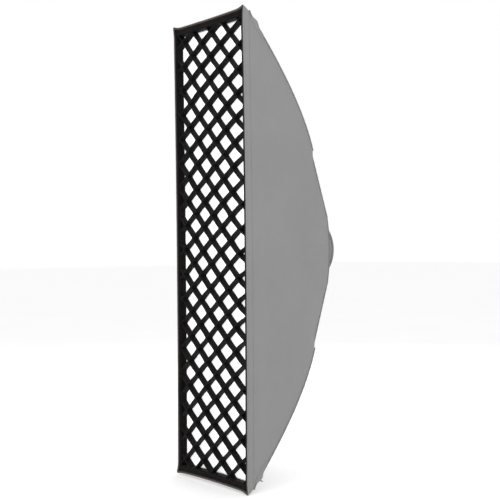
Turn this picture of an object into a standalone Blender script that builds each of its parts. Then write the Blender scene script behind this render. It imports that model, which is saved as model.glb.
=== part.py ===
"""Quick-fold strip softbox, 0.30 x 1.20 m, with an S-type three-lug bayonet ring.

Metres, +Z up. The box stands with its long side along Z, its front faces -Y and its lamp side
faces +Y. Depths are measured forward from the rear face of the bayonet ring, so
y = REAR_Y - depth. The frame's origin is the middle of the object's box.

In the names, _R is a radius, _REAR and _FRONT are depths, and HALF_X and HALF_Z are half sizes.
"""

import math

import bmesh
import bpy
from mathutils import Vector

WIDTH = 0.300
HEIGHT = 1.200
DEPTH = 0.380
REAR_Y = DEPTH / 2
GAP = 0.0003  # clearance between neighbouring pieces
CLOTH = 0.0015

# segments round a turned piece
ROUND = 48
FINE = 24
MEDIUM = 16
SMALL = 12

# base colour, roughness, metallic
LOOKS = {
    "metal": ((0.62, 0.62, 0.64), 0.35, 1.0),
    "cast": ((0.05, 0.05, 0.055), 0.45, 0.6),
    "steel": ((0.72, 0.72, 0.73), 0.28, 1.0),
    "plastic": ((0.03, 0.03, 0.032), 0.5, 0.0),
    "glassfibre": ((0.045, 0.045, 0.05), 0.4, 0.0),
    "red": ((0.45, 0.03, 0.03), 0.45, 0.0),
    "grey_cloth": ((0.29, 0.29, 0.29), 0.9, 0.0),
    "black_cloth": ((0.018, 0.016, 0.015), 0.92, 0.0),
    "white_cloth": ((0.86, 0.86, 0.86), 0.8, 0.0),
    "rubber": ((0.02, 0.02, 0.02), 0.8, 0.0),
}

for old in list(bpy.data.objects):
    bpy.data.objects.remove(old, do_unlink=True)


# --------------------------------------------------------------------- helpers
def point(x, depth, z):
    return Vector((x, REAR_Y - depth, z))


REAR = point(0, 0, 0)
FORWARD = Vector((0, -1, 0))


def material(name, look):
    colour, roughness, metallic = LOOKS[look]
    made = bpy.data.materials.new(name)
    made.use_nodes = True
    shader = made.node_tree.nodes["Principled BSDF"]
    shader.inputs["Base Color"].default_value = (*colour, 1.0)
    shader.inputs["Roughness"].default_value = roughness
    shader.inputs["Metallic"].default_value = metallic
    return made


def link(name, mesh, look, sharp):
    """Make an object of a bmesh. Edges over sharp degrees stay crisp; None shades it flat."""
    data = bpy.data.meshes.new(name)
    mesh.to_mesh(data)
    mesh.free()
    piece = bpy.data.objects.new(name, data)
    bpy.context.scene.collection.objects.link(piece)
    if look:
        data.materials.append(material(f"{name}_mat", look))
    if sharp is not None:
        data.shade_smooth()
        data.set_sharp_from_angle(angle=math.radians(sharp))
    return piece


def add(name, mesh, look, origin, sharp=35):
    """Link a closed bmesh built in world coordinates, with its origin at the given point."""
    bmesh.ops.recalc_face_normals(mesh, faces=mesh.faces)
    bmesh.ops.translate(mesh, verts=mesh.verts, vec=-origin)
    piece = link(name, mesh, look, sharp)
    piece.location = origin
    return piece


def skin(sections, ring=False):
    """Join closed sections in turn. A ring also joins last to first, otherwise both are capped."""
    mesh = bmesh.new()
    rows = [[mesh.verts.new(corner) for corner in section] for section in sections]
    for this, after in zip(rows, rows[1:] + rows[:1] if ring else rows[1:]):
        for i in range(len(this)):
            j = (i + 1) % len(this)
            mesh.faces.new((this[i], this[j], after[j], after[i]))
    if not ring:
        mesh.faces.new(rows[0])
        mesh.faces.new(rows[-1])
    return mesh


def circle(centre, across, up, radius, segments):
    angles = (2 * math.pi * i / segments for i in range(segments))
    return [centre + (across * math.cos(a) + up * math.sin(a)) * radius for a in angles]


def lathe(profile, segments, base=REAR, axis=FORWARD, ring=False):
    """Turn (radius, height) pairs about an axis. A ring's profile is a closed loop."""
    axis = axis.normalized()
    if abs(axis.x) > 0.999:
        across = Vector((0, 0, 1))
    elif abs(axis.y) > 0.999 or abs(axis.z) > 0.999:
        across = Vector((1, 0, 0))
    else:
        across = axis.orthogonal().normalized()
    up = axis.cross(across)
    return skin(
        [circle(base + axis * height, across, up, radius, segments) for radius, height in profile],
        ring,
    )


def rod_between(start, end, radius, segments=SMALL):
    return lathe([(radius, 0), (radius, (end - start).length)], segments, start, end - start)


def sweep(path, radius, segments):
    """A round bar along a chain of points."""
    sections = []
    across = None
    for i, centre in enumerate(path):
        along = (path[min(i + 1, len(path) - 1)] - path[max(i - 1, 0)]).normalized()
        if across is None:
            across = along.orthogonal().normalized()
        across = (across - along * across.dot(along)).normalized()
        sections.append(circle(centre, across, along.cross(across), radius, segments))
    return skin(sections)


def prism(outline, place, low, high):
    """Extrude a closed outline of 2-D points between two values of the third coordinate."""
    return skin([[place(corner, level) for corner in outline] for level in (low, high)])


def at_depth(corner, depth):
    """Place an (x, z) corner at a depth."""
    return point(corner[0], depth, corner[1])


def mirrored(half):
    """Close a half outline by its mirror image in the first coordinate."""
    return half + [(-across, other) for across, other in reversed(half)]


def bezier(start, control, end, t):
    return start * (1 - t) ** 2 + control * (2 * t * (1 - t)) + end * t**2


def boolean(target, name, mesh, operation="DIFFERENCE"):
    """Cut or join a hidden helper into the target."""
    helper = add(name, mesh, None, Vector((0, 0, 0)), sharp=None)
    helper.hide_render = True
    helper.display_type = "WIRE"
    modifier = target.modifiers.new(name, "BOOLEAN")
    modifier.operation = operation
    modifier.solver = "EXACT"
    modifier.object = helper


def drill(target, name, start, end, radius, segments=SMALL):
    boolean(target, name, rod_between(start, end, radius, segments))


# -------------------------------------------------------------- lamp interface
BORE_R = 0.045
COLLAR_R = 0.0485
LUG_R = 0.054
LUG_THICKNESS = 0.003
LUG_PITCH, LUG_CENTRE, LUG_HALF_ANGLE = 120, 90, 15  # degrees round the axis
FLANGE_R = 0.067
FLANGE_REAR, FLANGE_FRONT = 0.012, 0.018
RING_R = 0.078
RING_BORE_R = 0.056
RING_GROOVE_R = FLANGE_R + 0.0005
RING_REAR, RING_FRONT = FLANGE_REAR, 0.030
RING_CHAMFER = 0.001
RING_HOLE_END = 0.022  # depth where the screw holes from either face stop
RETAINER_BORE_R, RETAINER_R = 0.055, 0.077
RETAINER_REAR, RETAINER_FRONT = 0.0084, RING_REAR - GAP
RETAINER_CHAMFER = 0.0006
SCREW_R = 0.0016
SCREW_HOLE_R = SCREW_R + GAP
SCREW_HEAD_R = 0.0033
SCREW_HEAD_HEIGHT, SCREW_HEAD_SHOULDER = 0.0022, 0.0015
SCREW_HEAD_CHAMFER = 0.0006
RETAINER_SCREW_CIRCLE_R = 0.07275
RETAINER_SCREW_START = 48.75  # degrees
KNOB_DEPTH = 0.0155
KNOB_R = 0.009
KNOB_STEM_R = 0.0020
KNOB_INNER = 0.0825  # distance of the knob's inner face from the axis


def bayonet_ring():
    mesh = lathe(
        [
            (BORE_R, 0),
            (COLLAR_R, 0),
            (COLLAR_R, LUG_THICKNESS),
            (COLLAR_R, FLANGE_REAR),
            (FLANGE_R, FLANGE_REAR),
            (FLANGE_R, FLANGE_FRONT),
            (BORE_R, FLANGE_FRONT),
        ],
        ROUND,
        ring=True,
    )
    # the lugs grow outwards from faces at the collar's rear end
    lug_faces = []
    for face in mesh.faces:
        centre = face.calc_center_median()
        on_collar = abs(math.hypot(centre.x, centre.z) - COLLAR_R) < 0.0005
        angle = math.degrees(math.atan2(centre.z, centre.x)) % LUG_PITCH
        in_lug = abs(angle - LUG_CENTRE) < LUG_HALF_ANGLE
        if on_collar and in_lug and REAR_Y - centre.y < LUG_THICKNESS:
            lug_faces.append(face)
    grown = bmesh.ops.extrude_face_region(mesh, geom=lug_faces)
    bmesh.ops.delete(mesh, geom=lug_faces, context="FACES")
    for item in grown["geom"]:
        if isinstance(item, bmesh.types.BMVert):
            item.co.x *= LUG_R / COLLAR_R
            item.co.z *= LUG_R / COLLAR_R
    add("bayonet_ring", mesh, "metal", REAR, sharp=30)


def speed_ring():
    """The outer ring, with a groove that holds the flange."""
    profile = [
        (RING_GROOVE_R, RING_REAR),
        (RING_R - RING_CHAMFER, RING_REAR),
        (RING_R, RING_REAR + RING_CHAMFER),
        (RING_R, RING_FRONT - RING_CHAMFER),
        (RING_R - RING_CHAMFER, RING_FRONT),
        (RING_BORE_R, RING_FRONT),
        (RING_BORE_R, FLANGE_FRONT + GAP),
        (RING_GROOVE_R, FLANGE_FRONT + GAP),
    ]
    return add("speed_ring", lathe(profile, ROUND, ring=True), "cast", REAR, sharp=30)


def retainer_ring():
    profile = [
        (RETAINER_BORE_R, RETAINER_REAR),
        (RETAINER_R - RETAINER_CHAMFER, RETAINER_REAR),
        (RETAINER_R, RETAINER_REAR + RETAINER_CHAMFER),
        (RETAINER_R, RETAINER_FRONT),
        (RETAINER_BORE_R, RETAINER_FRONT),
    ]
    return add("retainer_ring", lathe(profile, ROUND, ring=True), "cast", REAR, sharp=30)


def screw(name, x, z, tip, seat, facing, origin_depth):
    """A screw along the depth. Its head stands on the seat, forwards (1) or rearwards (-1)."""
    profile = [
        (SCREW_R, tip),
        (SCREW_R, seat),
        (SCREW_HEAD_R, seat),
        (SCREW_HEAD_R, seat + facing * SCREW_HEAD_SHOULDER),
        (SCREW_HEAD_R - SCREW_HEAD_CHAMFER, seat + facing * SCREW_HEAD_HEIGHT),
    ]
    add(name, lathe(profile, SMALL, point(x, 0, z)), "steel", point(x, origin_depth, z))


def retainer_screws(retainer, ring):
    seat = RETAINER_REAR - GAP
    for i in range(4):
        angle = math.radians(RETAINER_SCREW_START + 90 * i)
        x = RETAINER_SCREW_CIRCLE_R * math.cos(angle)
        z = RETAINER_SCREW_CIRCLE_R * math.sin(angle)
        screw(f"retainer_screw_{i + 1}", x, z, 0.0205, seat, -1, seat - SCREW_HEAD_HEIGHT)
        for target, label, start, end in (
            (retainer, "retainer", 0.006, 0.014),
            (ring, "ring", 0.010, RING_HOLE_END),
        ):
            name = f"cut_{label}_{i}"
            drill(target, name, point(x, start, z), point(x, end, z), SCREW_HOLE_R)


def brake_knob(ring):
    """A knob at -X, on a stem that reaches the flange's rim."""
    profile = [
        (KNOB_STEM_R, 0.0676),
        (KNOB_STEM_R, KNOB_INNER),
        (KNOB_R - 0.001, KNOB_INNER),
        (KNOB_R, 0.0835),
        (KNOB_R, 0.0940),
        (KNOB_R - 0.0018, 0.0958),
    ]
    add(
        "brake_knob",
        lathe(profile, 20, point(0, KNOB_DEPTH, 0), Vector((-1, 0, 0))),
        "plastic",
        point(-KNOB_INNER, KNOB_DEPTH, 0),
    )
    start, end = point(-0.064, KNOB_DEPTH, 0), point(-0.080, KNOB_DEPTH, 0)
    drill(ring, "cut_brake_hole", start, end, KNOB_STEM_R + GAP)


bayonet_ring()
speed = speed_ring()
retainer_screws(retainer_ring(), speed)
brake_knob(speed)

# --------------------------------------------------------- spider bridge, shaft
SHAFT_R, SHAFT_BORE_R = 0.0050, 0.0038
SHAFT_HOLE_R = SHAFT_R + GAP
SHAFT_REAR, SHAFT_FRONT = 0.0435, 0.2400
SHAFT_COLLAR_R, SHAFT_COLLAR_THICKNESS = 0.008, 0.003
BOSS_REAR, BOSS_FRONT = 0.0495, 0.0600
FOOT_REAR, FOOT_FRONT = RING_FRONT + GAP, 0.0338
BRIDGE_HALF_Z = 0.008
BRIDGE_SCREW_X = 0.067
NUT_R = 0.0085
NUT_REAR, NUT_FRONT = 0.0442, BOSS_REAR - GAP

# (x, depth), the +X half
BRIDGE_HALF = [
    (0.0120, BOSS_REAR), (0.0580, FOOT_REAR), (0.0765, FOOT_REAR),
    (0.0765, FOOT_FRONT), (0.0600, FOOT_FRONT), (0.0145, BOSS_FRONT),
]


def spider_bridge(ring):
    """A bar across the ring's front, raised to a boss on the axis."""
    mesh = prism(
        mirrored(BRIDGE_HALF),
        lambda corner, z: point(*corner, z),
        -BRIDGE_HALF_Z,
        BRIDGE_HALF_Z,
    )
    bridge = add("spider_bridge", mesh, "cast", point(0, BOSS_REAR, 0), sharp=None)
    start, end = point(0, 0.045, 0), point(0, 0.065, 0)
    drill(bridge, "cut_bridge_bore", start, end, SHAFT_HOLE_R, MEDIUM)
    seat = FOOT_FRONT + GAP
    for i, x in enumerate((-BRIDGE_SCREW_X, BRIDGE_SCREW_X)):
        screw(f"bridge_screw_{i + 1}", x, 0, 0.0235, seat, 1, seat)
        for target, label, start, end in (
            (bridge, "bridge_foot", 0.028, 0.036),
            (ring, "ring_front", RING_HOLE_END, 0.032),
        ):
            name = f"cut_{label}_{i}"
            drill(target, name, point(x, start, 0), point(x, end, 0), SCREW_HOLE_R)


def shaft_tube():
    """A tube with a collar against the boss's front."""
    collar_rear = BOSS_FRONT + GAP
    collar_front = BOSS_FRONT + SHAFT_COLLAR_THICKNESS
    profile = [
        (SHAFT_BORE_R, SHAFT_REAR),
        (SHAFT_R, SHAFT_REAR),
        (SHAFT_R, collar_rear),
        (SHAFT_COLLAR_R, collar_rear),
        (SHAFT_COLLAR_R, collar_front),
        (SHAFT_R, collar_front),
        (SHAFT_R, SHAFT_FRONT),
        (SHAFT_BORE_R, SHAFT_FRONT),
    ]
    add("shaft_tube", lathe(profile, MEDIUM, ring=True), "metal", point(0, SHAFT_REAR, 0))


def shaft_nut():
    mesh = lathe([(NUT_R, NUT_REAR), (NUT_R, NUT_FRONT)], 6)
    nut = add("shaft_nut", mesh, "steel", point(0, NUT_REAR, 0), sharp=None)
    start, end = point(0, 0.040, 0), point(0, 0.055, 0)
    drill(nut, "cut_nut_bore", start, end, SHAFT_HOLE_R, MEDIUM)


def shaft_end_cap():
    profile = [
        (0.0034, 0.2280),
        (0.0034, SHAFT_FRONT + GAP),
        (0.0065, SHAFT_FRONT + GAP),
        (0.0065, 0.2440),
        (0.0045, 0.2455),
    ]
    add("shaft_end_cap", lathe(profile, MEDIUM), "plastic", point(0, SHAFT_FRONT, 0))


spider_bridge(speed)
shaft_tube()
shaft_nut()
shaft_end_cap()

# ---------------------------------------------------------------- runner, latch
RUNNER_DEPTH = 0.090
RUNNER_R = 0.012
RUNNER_HALF = 0.012
RUNNER_CHAMFER = 0.001
RUNNER_CENTRE = point(0, RUNNER_DEPTH, 0)
EAR_HOLE_Z = 0.036  # centre of a strut's runner end
EAR_TIP_Z = EAR_HOLE_Z + 0.007
EAR_INNER_X, EAR_OUTER_X = 0.0339, 0.0379
EAR_HALF_DEPTH = 0.006
CROSSBAR_HALF_Z = 0.008
BUTTON_STEM_R, BUTTON_R = 0.0022, 0.0055
BUTTON_BOTTOM_Z = 0.0148
BUTTON_BORE_R, BUTTON_SEAT_R, BUTTON_SEAT_Z = 0.0026, 0.0052, 0.0085
SPRING_R, SPRING_WIRE_R = 0.0038, 0.0004
SPRING_Z0, SPRING_Z1 = 0.0094, 0.0141
SPRING_STEPS, SPRING_STEPS_PER_TURN = 35, 10

# (x, z), the +X half of the H that carries the four ears
EARS_HALF = [
    (EAR_INNER_X, -CROSSBAR_HALF_Z), (EAR_INNER_X, -EAR_TIP_Z), (EAR_OUTER_X, -EAR_TIP_Z),
    (EAR_OUTER_X, EAR_TIP_Z), (EAR_INNER_X, EAR_TIP_Z), (EAR_INNER_X, CROSSBAR_HALF_Z),
]


def runner_hub():
    rear, front = RUNNER_DEPTH - RUNNER_HALF, RUNNER_DEPTH + RUNNER_HALF
    profile = [
        (RUNNER_R - RUNNER_CHAMFER, rear),
        (RUNNER_R, rear + RUNNER_CHAMFER),
        (RUNNER_R, front - RUNNER_CHAMFER),
        (RUNNER_R - RUNNER_CHAMFER, front),
    ]
    hub = add("runner_hub", lathe(profile, FINE), "plastic", RUNNER_CENTRE, sharp=30)
    ear_depths = (RUNNER_DEPTH - EAR_HALF_DEPTH, RUNNER_DEPTH + EAR_HALF_DEPTH)
    ears = prism(mirrored(EARS_HALF), at_depth, *ear_depths)
    boolean(hub, "join_runner_ears", ears, "UNION")
    start, end = point(0, 0.070, 0), point(0, 0.110, 0)
    drill(hub, "cut_runner_bore", start, end, SHAFT_HOLE_R, MEDIUM)
    above = point(0, RUNNER_DEPTH, 0.016)
    drill(hub, "cut_button_bore", RUNNER_CENTRE, above, BUTTON_BORE_R)
    seat = point(0, RUNNER_DEPTH, BUTTON_SEAT_Z)
    drill(hub, "cut_button_seat", seat, above, BUTTON_SEAT_R, MEDIUM)


def runner_button():
    profile = [
        (BUTTON_STEM_R, 0.0075),
        (BUTTON_STEM_R, BUTTON_BOTTOM_Z),
        (BUTTON_R, BUTTON_BOTTOM_Z),
        (BUTTON_R, 0.0171),
        (BUTTON_R - 0.0009, 0.0180),
    ]
    mesh = lathe(profile, MEDIUM, RUNNER_CENTRE, Vector((0, 0, 1)))
    add("runner_button", mesh, "red", point(0, RUNNER_DEPTH, BUTTON_BOTTOM_Z))


def latch_spring():
    coil = []
    for i in range(SPRING_STEPS + 1):
        angle = 2 * math.pi * i / SPRING_STEPS_PER_TURN
        z = SPRING_Z0 + (SPRING_Z1 - SPRING_Z0) * i / SPRING_STEPS
        depth = RUNNER_DEPTH + SPRING_R * math.sin(angle)
        coil.append(point(SPRING_R * math.cos(angle), depth, z))
    add("latch_spring", sweep(coil, SPRING_WIRE_R, 6), "steel", point(0, RUNNER_DEPTH, 0.009))


runner_hub()
runner_button()
latch_spring()

# ------------------------------------------------------------------------- ribs
# Sizes are for the upper +X corner. Side views are (depth, z) pairs.
HINGE = (0.040, 0.085)
HINGE_X = 0.050
HINGE_PIN_R, HINGE_PIN_HEAD_R = 0.0025, 0.0045
BRACKET_HALF_X, SLOT_HALF_X = 0.0118, 0.0078
BRACKET_EYE_R = 0.0075
BRACKET_FOOT_Z0, BRACKET_FOOT_Z1 = 0.036, 0.0780
ARM_ANGLE = math.radians(72)
ARM_LENGTH = 0.190
ARM_HALF_X = 0.0074
ARM_ROOT_R, ARM_END_R = 0.007, 0.005
SPLAY, SPLAY_START = 0.020, 0.074  # x gained by the arm's end, and where that begins
STRUT_AT = 0.060  # distance along the arm
STRUT_INNER_X = EAR_OUTER_X + GAP
STRUT_OUTER_X = STRUT_INNER_X + 0.004
STRUT_R0, STRUT_R1 = 0.006, 0.0059  # at the arm, at the runner
STRUT_PIN_R, STRUT_PIN_HEAD_R = 0.0020, 0.0040
PIN_HEAD_CHAMFER = 0.0007
FERRULE_R = 0.0065
SOCKET_R = 0.0037
ROD_R = 0.003
ROD_STEPS = 14
CAP_R, CAP_BORE_R, CAP_END = 0.0047, 0.0037, 0.0028
POCKET_R, POCKET_BORE_R = 0.0072, 0.0052

SLOT = [
    (0.0343, 0.030), (0.0600, 0.030), (0.0600, 0.100),
    (0.0250, 0.100), (0.0250, 0.0765), (0.0343, 0.0765),
]


def along_arm(distance):
    return (
        HINGE[0] + distance * math.cos(ARM_ANGLE),
        HINGE[1] + distance * math.sin(ARM_ANGLE),
    )


STRUT_TOP = along_arm(STRUT_AT)
STRUT_FOOT = (RUNNER_DEPTH, EAR_HOLE_Z)

# the rod's curve, as (x, depth, z)
ROD_START = Vector((HINGE_X + SPLAY, *along_arm(ARM_LENGTH)))
ROD_CONTROL = Vector((0.0935, 0.1510, 0.3785))
ROD_TIP = Vector((0.1275, 0.3370, 0.5545))
ROD_DIRECTION = (ROD_CONTROL - ROD_START).normalized()


def corner_placer(side_x, side_z):
    """Place a (depth, z) pair at an x, mirrored into one of the four corners."""
    return lambda pair, x: point(side_x * x, pair[0], side_z * pair[1])


def rib_bracket(tag, place):
    """A clevis on the ring's front face."""
    outline = [(RING_FRONT + GAP, BRACKET_FOOT_Z0), (0.0360, BRACKET_FOOT_Z0)]
    for i in range(9):
        angle = math.radians(-15 + 195 * i / 8)
        outline.append(
            (HINGE[0] + BRACKET_EYE_R * math.cos(angle), HINGE[1] + BRACKET_EYE_R * math.sin(angle))
        )
    outline.append((RING_FRONT + GAP, BRACKET_FOOT_Z1))
    mesh = prism(outline, place, HINGE_X - BRACKET_HALF_X, HINGE_X + BRACKET_HALF_X)
    bracket = add(f"rib_bracket_{tag}", mesh, "plastic", place(HINGE, HINGE_X), sharp=None)
    slot = prism(SLOT, place, HINGE_X - SLOT_HALF_X, HINGE_X + SLOT_HALF_X)
    boolean(bracket, f"cut_slot_{tag}", slot)
    start, end = place(HINGE, 0.030), place(HINGE, 0.070)
    drill(bracket, f"cut_hinge_hole_{tag}", start, end, HINGE_PIN_R + GAP)


def rib_hinge_pin(tag, place, outward):
    seat = HINGE_X - BRACKET_HALF_X - GAP
    profile = [
        (HINGE_PIN_HEAD_R - PIN_HEAD_CHAMFER, 0.0366),
        (HINGE_PIN_HEAD_R, 0.0372),
        (HINGE_PIN_HEAD_R, seat),
        (HINGE_PIN_R, seat),
        (HINGE_PIN_R, 0.0616),
    ]
    mesh = lathe(profile, SMALL, place(HINGE, 0), outward)
    add(f"rib_hinge_pin_{tag}", mesh, "steel", place(HINGE, HINGE_X))


def arm_bar(place):
    """A flat bar that runs straight past the strut and then splays outwards to the rod."""
    turn = [math.radians(a) for a in (80, 60, 40, 20)]
    # (distance along the arm, half width)
    stations = [(-ARM_ROOT_R * math.sin(a), ARM_ROOT_R * math.cos(a)) for a in turn]
    splay_half = ARM_ROOT_R + (ARM_END_R - ARM_ROOT_R) * SPLAY_START / ARM_LENGTH
    stations += [(0.0, ARM_ROOT_R), (SPLAY_START, splay_half), (ARM_LENGTH, ARM_END_R)]
    stations += [
        (ARM_LENGTH + ARM_END_R * math.sin(a), ARM_END_R * math.cos(a)) for a in reversed(turn)
    ]
    sections = []
    for distance, half in stations:
        depth, z = along_arm(distance)
        wide_depth, wide_z = -math.sin(ARM_ANGLE) * half, math.cos(ARM_ANGLE) * half
        splayed = max(0.0, distance - SPLAY_START) / (ARM_LENGTH - SPLAY_START)
        x = HINGE_X + SPLAY * splayed
        sections.append(
            [
                place((depth + wide_depth * side, z + wide_z * side), x + ARM_HALF_X * out)
                for side, out in ((-1, -1), (-1, 1), (1, 1), (1, -1))
            ]
        )
    return skin(sections)


def rib_arm(tag, place):
    """The arm with a socketed ferrule at its outer end."""
    arm = add(f"rib_arm_{tag}", arm_bar(place), "metal", place(HINGE, HINGE_X), sharp=30)

    def on_rod_line(distance):
        spot = ROD_START + ROD_DIRECTION * distance
        return place(spot.yz, spot.x)

    ferrule = rod_between(on_rod_line(-0.010), on_rod_line(0.016), FERRULE_R, MEDIUM)
    boolean(arm, f"join_ferrule_{tag}", ferrule, "UNION")
    drill(arm, f"cut_socket_{tag}", on_rod_line(-0.0075), on_rod_line(0.030), SOCKET_R)
    for label, centre, pin_radius in (
        ("hinge", HINGE, HINGE_PIN_R),
        ("strut", STRUT_TOP, STRUT_PIN_R),
    ):
        start, end = place(centre, 0.030), place(centre, 0.070)
        drill(arm, f"cut_arm_{label}_{tag}", start, end, pin_radius + GAP)


def rib_rod(tag, place):
    """The flexible rod, with the cap and the cloth pocket over its tip."""
    hinge = place(HINGE, HINGE_X)
    path = [ROD_START - ROD_DIRECTION * 0.0068]
    path += [
        bezier(ROD_START, ROD_CONTROL, ROD_TIP, i / ROD_STEPS) for i in range(ROD_STEPS + 1)
    ]
    path = [place(spot.yz, spot.x) for spot in path]
    add(f"rib_rod_{tag}", sweep(path, ROD_R, 10), "glassfibre", hinge)

    tip = place(ROD_TIP.yz, ROD_TIP.x)
    direction = tip - place(ROD_CONTROL.yz, ROD_CONTROL.x)
    # heights run along the rod from its tip: closed end, shoulder, mouth, floor of the bore
    for name, look, radius, bore, chamfer, end, shoulder, mouth, floor in (
        ("rod_tip_cap", "rubber", CAP_R, CAP_BORE_R, 0.0012, CAP_END, 0.0018, -0.0120, GAP),
        ("corner_pocket", "black_cloth", POCKET_R, POCKET_BORE_R, 0.0014,
         0.0053, 0.0040, -0.0220, CAP_END + GAP),
    ):
        profile = [
            (radius - chamfer, end),
            (radius, shoulder),
            (radius, mouth),
            (bore, mouth),
            (bore, floor),
        ]
        add(f"{name}_{tag}", lathe(profile, 14, tip, direction), look, hinge)


def capsule(centre0, radius0, centre1, radius1, steps=8):
    """Outline round two circles, as a counter-clockwise list of points."""
    run, rise = centre1[0] - centre0[0], centre1[1] - centre0[1]
    heading = math.atan2(rise, run)
    tangent = math.acos((radius0 - radius1) / math.hypot(run, rise))
    outline = []
    for centre, radius, start, turn in (
        (centre1, radius1, heading - tangent, 2 * tangent),
        (centre0, radius0, heading + tangent, 2 * math.pi - 2 * tangent),
    ):
        for i in range(steps + 1):
            angle = start + turn * i / steps
            outline.append(
                (centre[0] + radius * math.cos(angle), centre[1] + radius * math.sin(angle))
            )
    return outline


def strut(tag, place):
    """A flat link from the arm to the runner's ear."""
    outline = capsule(STRUT_TOP, STRUT_R0, STRUT_FOOT, STRUT_R1)
    mesh = prism(outline, place, STRUT_INNER_X, STRUT_OUTER_X)
    link_bar = add(f"strut_{tag}", mesh, "metal", place(STRUT_TOP, STRUT_INNER_X))
    start, end = place(STRUT_TOP, 0.030), place(STRUT_TOP, 0.050)
    drill(link_bar, f"cut_strut_{tag}", start, end, STRUT_PIN_R + GAP)


def strut_pin(tag, place, outward):
    """A pin with a head at both ends."""
    profile = [
        (STRUT_PIN_HEAD_R - PIN_HEAD_CHAMFER, 0.0362),
        (STRUT_PIN_HEAD_R, 0.0369),
        (STRUT_PIN_HEAD_R, 0.0378),
        (STRUT_PIN_R, 0.0378),
        (STRUT_PIN_R, 0.0578),
        (STRUT_PIN_HEAD_R, 0.0578),
        (STRUT_PIN_HEAD_R, 0.0587),
        (STRUT_PIN_HEAD_R - PIN_HEAD_CHAMFER, 0.0594),
    ]
    mesh = lathe(profile, SMALL, place(STRUT_TOP, 0), outward)
    add(f"strut_pin_{tag}", mesh, "steel", place(STRUT_TOP, HINGE_X))


for tag, side_x, side_z in (("ul", -1, 1), ("ur", 1, 1), ("ll", -1, -1), ("lr", 1, -1)):
    place = corner_placer(side_x, side_z)
    outward = Vector((side_x, 0, 0))
    rib_bracket(tag, place)
    rib_hinge_pin(tag, place, outward)
    rib_arm(tag, place)
    rib_rod(tag, place)
    strut(tag, place)
    strut_pin(tag, place, outward)

# ---------------------------------------------------------------- fabric panels
# the seam between a side panel and an end panel, as (x, depth, z)
REAR_CORNER = Vector((0.076, 0.0305, 0.0881))
KINK = Vector((0.084, 0.088, 0.2657))
FRONT_CORNER = Vector((0.1465, 0.358, 0.592))
SEAM_CONTROL_DEPTH, SEAM_CONTROL_Z = 0.1500, 0.3994
KINK_SHARE = 0.30  # share of the seam's parameter up to the kink
REAR_SIDE_X = 0.084  # the side panels' rear edge at mid-height
SIDE_HOLLOW, END_SAG = 0.004, 0.002
SEAM_OVERLAP = 0.0024
PANEL_ROWS = 10
CUFF_STEPS = 64
CUFF_BORE_R, CUFF_R = 0.0790, 0.0804
CUFF_REAR, CUFF_RIM_REAR, CUFF_FRONT = 0.0125, 0.0286, 0.0300


def seam(v):
    """A point of the seam, as (x, depth, z), from the ring end (0) to the lip (1)."""
    if v <= KINK_SHARE:
        return REAR_CORNER.lerp(KINK, v / KINK_SHARE)
    t = (v - KINK_SHARE) / (1 - KINK_SHARE)
    depth = bezier(KINK.y, SEAM_CONTROL_DEPTH, FRONT_CORNER.y, t)
    z = bezier(KINK.z, SEAM_CONTROL_Z, FRONT_CORNER.z, t)
    x = KINK.x + (FRONT_CORNER.x - KINK.x) * (z - KINK.z) / (FRONT_CORNER.z - KINK.z)
    return Vector((x, depth, z))


def side_surface(u, v):
    """u runs from the lower rib (-1) to the upper one (1)."""
    edge = seam(v)
    run = (edge.y - REAR_CORNER.y) / (FRONT_CORNER.y - REAR_CORNER.y)
    straight = REAR_SIDE_X + (FRONT_CORNER.x - REAR_SIDE_X) * run
    middle = straight - SIDE_HOLLOW * math.sin(math.pi * run)
    return Vector((middle + (edge.x - middle) * u * u, edge.y, u * edge.z))


def end_surface(u, v):
    """u runs from the left rib (-1) to the right one (1)."""
    edge = seam(v)
    sag = 0.7 * END_SAG * (1 - u * u) * math.sin(math.pi * v)
    return Vector((u * (edge.x - SEAM_OVERLAP), edge.y + sag, edge.z - sag))


def fabric_panel(name, surface, columns, outward):
    """A curved panel facing outward, with its thickness inwards."""
    flip_x = -1 if outward.x < 0 else 1
    flip_z = -1 if outward.z < 0 else 1
    mesh = bmesh.new()
    rows = []
    for j in range(PANEL_ROWS + 1):
        spots = [surface(-1 + 2 * i / columns, j / PANEL_ROWS) for i in range(columns + 1)]
        rows.append([mesh.verts.new(point(flip_x * s.x, s.y, flip_z * s.z)) for s in spots])
    for this, after in zip(rows, rows[1:]):
        for i in range(columns):
            mesh.faces.new((this[i], this[i + 1], after[i + 1], after[i]))
    mesh.normal_update()
    if sum(face.normal.dot(outward) * face.calc_area() for face in mesh.faces) < 0:
        bmesh.ops.reverse_faces(mesh, faces=mesh.faces)
    modifier = link(name, mesh, "grey_cloth", 35).modifiers.new("thickness", "SOLIDIFY")
    modifier.thickness = CLOTH
    modifier.offset = -1
    modifier.use_even_offset = True


def rear_outline(angle):
    """Distance from the axis to the rear edge of the panels, in the given direction."""
    across, up = abs(math.cos(angle)), abs(math.sin(angle))
    reach = REAR_CORNER.z / max(up, 1e-6)
    if reach * across <= REAR_CORNER.x:
        return math.hypot(reach * across, REAR_CORNER.z)
    # bisect for the bowed edge of the side panel
    low, high = 0.0, reach
    for _ in range(40):
        middle = (low + high) / 2
        u = middle * up / REAR_CORNER.z
        if middle * across < REAR_SIDE_X + (REAR_CORNER.x - REAR_SIDE_X) * u * u:
            low = middle
        else:
            high = middle
    return low


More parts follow.
